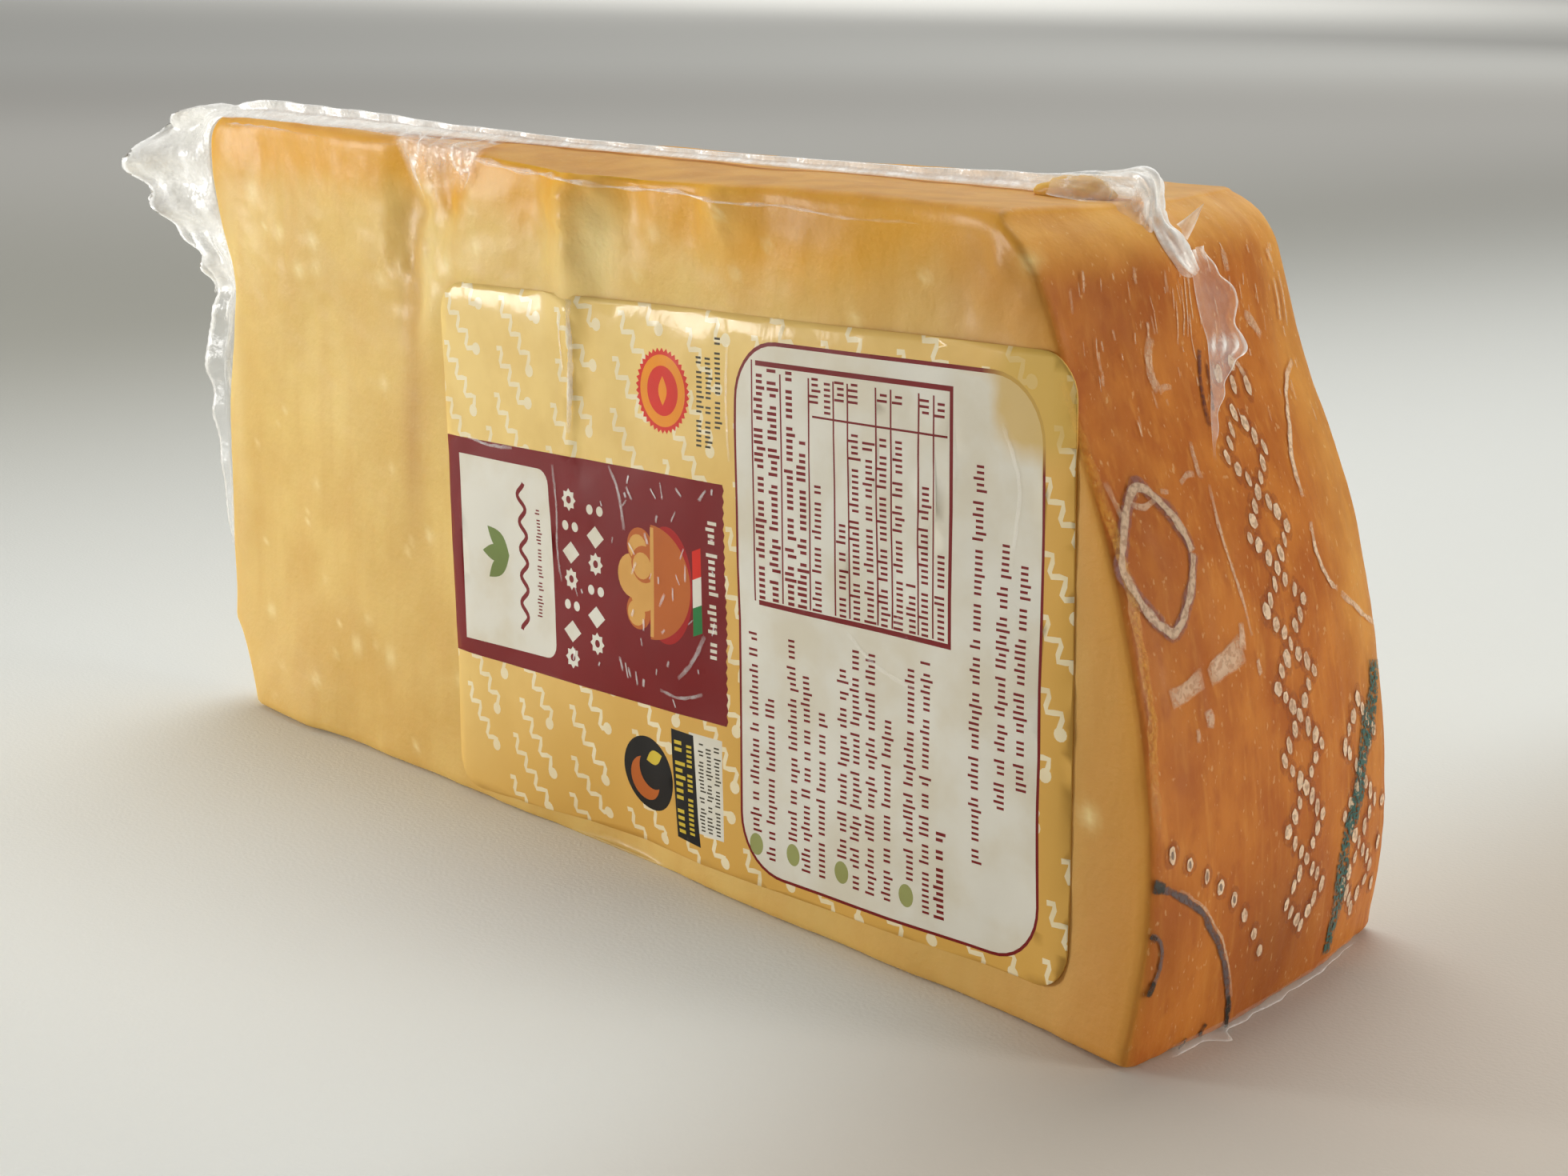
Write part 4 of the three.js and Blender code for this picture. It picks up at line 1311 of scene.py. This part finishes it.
# Places in X, Y and Z of the film at the shoulder. The rope has its radius too
TENT_RIM = [
    (176, 0.2, 114.4), (181, -0.2, 114.5), (186, -0.8, 115.3), (191, -1.0, 115.9), (195, -1.0, 115.3),
    (198.5, -1.2, 115.5), (200.2, -1.8, 113.6), (201.0, -2.8, 111.2), (202.0, -3.4, 108.6),
]
TENT_FOOT = [
    (177, -0.9, 112.4), (182, -2.6, 112.3), (187, -6.6, 112.4), (192, -7.2, 112.1), (196.4, -7.4, 111.3),
    (199.2, -7.4, 109.9), (200.9, -7.0, 108.6), (202.3, -6.2, 107.3), (203.2, -5.2, 106.4),
]
ROPE = [
    (190, -0.8, 115.0, 0.5), (194, -0.9, 115.2, 0.9), (197.6, -1.0, 115.3, 1.5), (199.4, -1.3, 114.4, 1.95),
    (200.5, -1.9, 112.6, 1.35), (201.2, -2.6, 110.8, 1.5), (202.6, -3.1, 108.9, 1.3),
    (204.6, -3.3, 106.8, 2.1), (206.0, -2.6, 104.8, 1.8), (207.2, -1.0, 103.0, 0.8),
]
SPIKE = [(203.8, -0.8, 109.4), (205.2, 0.0, 107.3), (206.7, 1.4, 112.4)]


def build_tent():
    """A tented web over the shoulder, from the seam down to the near side."""
    share, down = grid(72, 22)
    rim, foot = (smooth_line(stops, share) for stops in (TENT_RIM, TENT_FOOT))
    s, arch = share * TENT_LENGTH, np.sin(math.pi * down)
    swell = arch * (0.9 + 0.28 * wave(s, 4.4, 5 * down) + 0.35 * rough(s / 3.1, down * 2.2, 0, 131, 2))
    points = pushed(blend(rim, foot, down[..., None]), (0.35, -0.75, 0.55), swell)
    milk = 0.35 * crease_lines(s / 6, down * 1.6, 133) + 0.35 * smoothstep(0.6, 0.8, share)
    milk = 0.18 + milk * (1 - down) + 0.65 * smoothstep(0.1, 0.0, down) + 0.4 * smoothstep(0.93, 1.0, down)
    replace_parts(film_sheet("film_tent", points, milk * smoothstep(0, 0.08, share)), "film_seam")


def build_rope():
    """The seam gathered into a rope over the shoulder."""
    share, turn = grid(110, 49)
    stops = smooth_line(ROPE, share)
    middle, radius = stops[..., :3], stops[..., 3]
    forward = unit(np.gradient(middle, axis=0))
    side = unit(np.cross(forward, ACROSS))
    angle, s = 2 * math.pi * turn, share * ROPE_LENGTH
    gathers = 0.13 * np.sin(5 * angle + 0.35 * s) + 0.06 * np.sin(11 * angle - 0.5 * s)
    knots = 0.14 * rough(s / 4.2, np.cos(angle), np.sin(angle), 141, 2)
    reach = radius * (1 + gathers + knots)
    points = pushed(middle, side, np.cos(angle) * reach)
    points = pushed(points, np.cross(forward, side), np.sin(angle) * reach)
    milk = 0.62 + 0.38 * smoothstep(-0.05, 0.15, gathers)
    milk = milk * smoothstep(0, 0.1, share) * (1 - 0.6 * smoothstep(0.9, 1, share))
    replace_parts(film_sheet("film_rope", points, milk), "film_seam")


def build_spike():
    """A thin point of film that stands off the rope."""
    up, over = grid(12, 7)
    first, second, tip = np.array(SPIKE)
    base = blend(first, second, over[..., None])
    points = pushed(base, tip - base, up ** 0.85 + 0 * over)
    points = pushed(points, (0, 0.35, 0), wave(over, 1, 4 * up) * (1 - up))
    film_sheet("film_spike", points, 0.35 + 0.4 * smoothstep(0.3, 0.5, np.abs(over - 0.5)) + 0 * up)


# The loose end of the seam on the rind: left edge (across, up) and right edge (across, up, stand-off)
LOOSE_END = [
    (-3.9, 105.2, 2.2, 106.6, 1.6), (-1.7, 104.0, 3.4, 104.8, 1.4), (-0.6, 102.6, 4.8, 102.6, 1.2),
    (-0.8, 100.2, 7.8, 100.7, 1.0), (-0.8, 97.9, 8.8, 98.3, 1.3), (-0.5, 95.8, 6.9, 95.9, 0.9),
    (-0.1, 93.9, 8.0, 93.6, 1.3), (-0.4, 92.2, 7.4, 91.2, 1.2), (-0.9, 90.3, 4.1, 90.2, 1.0),
    (-1.6, 88.4, 1.9, 88.2, 0.7), (-2.6, 86.4, -0.4, 86.2, 0.5), (-4.0, 84.0, -2.8, 83.8, 0.35),
    (-5.4, 81.2, -4.6, 81.0, 0.3), (-6.9, 78.2, -6.6, 78.2, 0.25),
]


def build_loose_end():
    share, over = grid(150, 30)
    left, left_up, right, right_up, off = np.moveaxis(smooth_line(LOOSE_END, share), -1, 0)
    s = share * LOOSE_END_LENGTH
    gathered = smoothstep(3.5, 0, s) + bell(s - 14.4, 1.3)
    waves = 0.24 * wave(s, 3.7, 2 * over) * over + 0.16 * rough(s / 2.6, over * 3, 0, 151, 2)
    folds = wave(over * 3.5 + s / 9, 1)
    outwards = 0.35 + off * over ** 1.6 + waves * smoothstep(0, 0.2, over) + 0.34 * gathered * folds * over
    across, up = blend(left, right, over), blend(left_up, right_up, over)
    points = rind_points(across, up, np.maximum(outwards, 0.2))
    milk = 0.14 + 0.06 * value_noise(s / 6, over * 2, 0, 152) + 0.10 * smoothstep(13, 17, s)
    milk = milk + 0.7 * smoothstep(0.95, 0.98, over) + 0.28 * smoothstep(0.05, 0.0, over)
    milk = (milk + gathered * (0.15 + 0.5 * smoothstep(0.2, 0.8, folds))) * (1 - smoothstep(26, 29, s))
    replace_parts(film_sheet("film_loose_end", points, milk), "film_seam")


def build_veil():
    """The film that bridges from the near top edge of the tip's end up to the seam."""
    over, down = grid(110, 20)
    along = blend(*VEIL_ALONG, over)
    seam = points_at(along, -0.5, HEIGHT + 1.9 - 0.3 * over)
    edge = near_face_points(along, HEIGHT - 1.1, 0.45)
    pleats = 0.10 * wave(14 * over + 0.5 * down, 1) + 0.12 * rough(12 * over, 2 * down, 0, 191, 2)
    swell = (0.25 + pleats) * np.sin(math.pi * down)
    points = pushed(blend(seam, edge, down[..., None]), (0, -0.5, 0.8), swell)
    milk = 0.6 + 0.2 * value_noise(10 * over, 2 * down, 0, 192) + 0.25 * crease_lines(9 * over, 2 * down, 193)
    film_sheet("film_veil", points, milk * smoothstep(1, 0.7, down) * fade(over, 0.05, 0.2))


def build_web():
    """A fold of film that runs from the seam over the near top edge and down to the craggy spot."""
    over, down = grid(90, 44)
    seam = points_at(blend(*WEB_AT_SEAM, over), -0.6, HEIGHT + 2.0 - 0.8 * over)
    edge = near_face_points(blend(*WEB_AT_EDGE, over), HEIGHT - 0.4, 0.55)
    along, up = (blend(*WEB_ON_FACE[way], over) for way in ("along", "up"))
    on_face = near_face_points(along, up, face_relief(NEAR_CRAGS, along, up) + 0.8)
    first, second = np.minimum(2 * down, 1)[..., None], np.maximum(2 * down - 1, 0)[..., None]
    points = seam * (1 - first) + edge * (first - second) + on_face * second
    pleats = 0.22 * wave(6 * over + 0.8 * down, 1) + 0.2 * rough(8 * over, 3 * down, 0, 161, 2)
    points = pushed(points, (0, -0.45, 0.9), np.sin(math.pi * down) ** 0.7 * (0.7 + pleats))
    milk = 0.17 + 0.22 * smoothstep(0.2, 0.5, down) * (1 - smoothstep(0.5, 0.8, down))
    milk = milk + 0.4 * crease_lines(7 * over + 1.5 * down, 2 * down, 162, 0.86)
    film_sheet("film_web", points, milk * (1 - smoothstep(0.75, 1, down)) * fade(over, 0.12, 0.15))


def build_edge_fold_and_highlight():
    """A narrow fold of film along the near top edge, its white partly a painted highlight of the film along
    that edge.
    """
    share, over = grid(260, 9)
    over = 2 * over - 1
    along = blend(*FOLD_ALONG, share)
    up = 110.6 - 1.3 * smoothstep(0, 0.35, share) + 0.25 * np.sin(27 * share)
    up = up + (0.5 + 0.2 * np.sin(75 * share)) * (1 - 0.5 * share) * over
    relief = face_relief(NEAR_CRAGS, along, np.minimum(up, HEIGHT - 2))
    fold = 0.35 + 0.5 * (1 - over ** 2) + 0.15 * rough(along / 3, over, 0, 163, 2)
    points = near_face_points(along, up, relief + fold - 0.8 * smoothstep(HEIGHT - 2.5, HEIGHT, up))
    # Painted highlight: the fold's white stands in partly for the film's highlight along the edge
    milk = 0.55 * (1 - over ** 2) + 0.25 * rough(along / 2.2, over, 0, 164, 2)
    film_sheet("film_edge_fold_and_highlight", points, milk * (1 - 0.5 * share) * np.sin(math.pi * share) ** 0.5)


def build_skirt():
    """The film at the foot of the side rind, which ends in a short pointed flap on the floor."""
    share, down = grid(160, 9)
    across = blend(*SKIRT_ACROSS, share)
    flap = SKIRT_FLAP["length"] * bell(across - SKIRT_FLAP["across"], SKIRT_FLAP["half_wide"])
    reach = 0.4 + 0.35 * value_noise(across / 3.3, 0, 0, 171) + flap
    outwards = 0.2 + reach * down ** 1.5 + 0.08 * rough(across / 2, down * 2, 0, 172, 2) * down
    points = rind_points(across, 1.5 * (1 - down) ** 1.2 + 0.12, outwards)
    milk = 0.05 + 0.12 * down + 0.4 * smoothstep(0.8, 1, down)
    film_sheet("film_skirt", points, milk * fade(share, 0.06, 0.08))


def build_crumb():
    """A crumb of cheese caught under the tented film."""
    rings, spokes = 26, 40
    polar = np.linspace(0, math.pi, rings)[:, None]
    angle = np.linspace(0, 2 * math.pi, spokes, endpoint=False)[None, :]
    shape = points_at(np.cos(angle) * np.sin(polar), np.sin(angle) * np.sin(polar), np.cos(polar))
    lumps = 1 + 0.2 * rough(*np.moveaxis(1.6 * shape, -1, 0), 181, 3)
    points = np.array(CRUMB_PLACE) + shape * lumps[..., None] * np.array(CRUMB_SIZE)
    faces = [
        (low + spoke, low + spokes + spoke, low + spokes + (spoke + 1) % spokes, low + (spoke + 1) % spokes)
        for low in range(0, (rings - 1) * spokes, spokes)
        for spoke in range(spokes)
    ]
    piece = make_piece("crumb_under_film", points.reshape(-1, 3), faces, [CHEESE])
    set_attribute(piece, "warm", 0.4 + 0 * lumps)


# Camera, floor and light

# The directions on the floor along which its painted shade and light change: behind the pack, and far behind
# it
FLOOR_BEHIND = (-1.406, 0.149, 0.0)
FLOOR_FAR = (-0.82, 0.62, 0.0)
FLOOR_RADIUS = 60.0
FLOOR_SIDES = 96
PACK_MIDDLE = (0, 0, 0.05)

# Lights: name, place, size, power, tint and the place that it is aimed at, in metres
LIGHTS = [
    ("skylight", (-0.35, 0.45, 1.2), 0.9, 7.0, (1.0, 1.0, 0.98), PACK_MIDDLE),
    ("ceiling", (-0.1, 0.1, 1.0), 0.6, 1.2, (1.0, 0.99, 0.96), PACK_MIDDLE),
    ("side_window", (-0.75, -0.45, 0.12), 0.2, 4.6, (1.0, 0.99, 0.97), PACK_MIDDLE),
    ("reflector", (0.75, 0.2, 0.14), 0.24, 2.2, (1.0, 0.95, 0.88), PACK_MIDDLE),
    ("far_wall", (-0.9, 2.8, 1.5), 2.0, 9.0, (1.0, 0.99, 0.96), PACK_MIDDLE),
    ("far_ceiling", (-3.4, 4.6, 1.6), 2.6, 30.0, (1.0, 0.99, 0.96), (-3.6, 4.9, 0.0)),
]
WORLD_TINT = (1.0, 0.99, 0.96, 1.0)
WORLD_STRENGTH = 0.25


def aim(thing, place, forward, roll=0.0):
    thing.location = place
    thing.rotation_mode = "QUATERNION"
    thing.rotation_quaternion = Vector(forward).to_track_quat("-Z", "Y") @ Quaternion((0, 0, 1), roll)


def build_camera():
    data = bpy.data.cameras.new("camera")
    data.sensor_width = CAMERA_SENSOR
    data.lens = CAMERA_LENS
    data.clip_start = CAMERA_CLIP_START
    aside, level = math.sin(CAMERA_AZIMUTH), math.cos(CAMERA_ELEVATION)
    forward = (-aside * level, math.cos(CAMERA_AZIMUTH) * level, -math.sin(CAMERA_ELEVATION))
    camera = place_in_scene("camera", data)
    aim(camera, (CAMERA_PLACE + SHIFT) * MM, forward, CAMERA_ROLL)
    bpy.context.scene.camera = camera


def floor_material():
    """Pale paper with painted light and shade: a darker, warmer painted shadow in front of the rind, painted
    shade in a wide grey band behind the pack, and paler paper far behind it as painted light.
    """
    shader = Shader("pale_paper")
    behind, far = (
        shader.node("VectorMath", "Value", {0: shader.coords, 1: direction}, operation="DOT_PRODUCT")
        for direction in (FLOOR_BEHIND, FLOOR_FAR)
    )
    # Painted shadow in front of the rind, painted shade behind the pack, and painted light far behind it
    paper = shader.layers(
        (212, 204, 192),
        (shader.rise(behind, -0.2, -0.1), (239, 241, 237)),
        (shader.rise(behind, 0.05, 0.78), (166, 165, 156)),
        (shader.rise(far, 0.6, 1.6), (236, 234, 228)),
        (shader.rise(far, 1.8, 2.6), (255, 255, 250)),
    )
    return shader.finish(Base_Color=paper, Roughness=0.9, Normal=shader.bump(shader.noise(0.7), 0.06))


def build_floor():
    mesh = bpy.data.meshes.new("floor")
    rim = [(p, q, 0) for p, q in disc(0, 0, FLOOR_RADIUS, steps=FLOOR_SIDES)]
    mesh.from_pydata(rim, [], [tuple(range(FLOOR_SIDES))])
    mesh.materials.append(floor_material())
    floor = place_in_scene("floor", mesh)


def build_light():
    for name, place, size, power, tint, target in LIGHTS:
        data = bpy.data.lights.new(name, "AREA")
        data.shape = "DISK"
        data.size = size
        data.energy = power
        data.color = tint
        light = place_in_scene(name, data)
        aim(light, place, Vector(target) - Vector(place))
        light.visible_camera = False
    world = bpy.data.worlds.new("room")
    world.use_nodes = True
    background = world.node_tree.nodes["Background"]
    background.inputs["Color"].default_value = WORLD_TINT
    background.inputs["Strength"].default_value = WORLD_STRENGTH
    bpy.context.scene.world = world
    bpy.context.scene.view_settings.view_transform = "Standard"


build_camera()
build_floor()
build_light()
build_cheese()
build_rind_marks()
build_label()
build_glints()
build_seam()
build_tent()
build_rope()
build_spike()
build_loose_end()
build_veil()
build_web()
build_edge_fold_and_highlight()
build_skirt()
build_crumb()
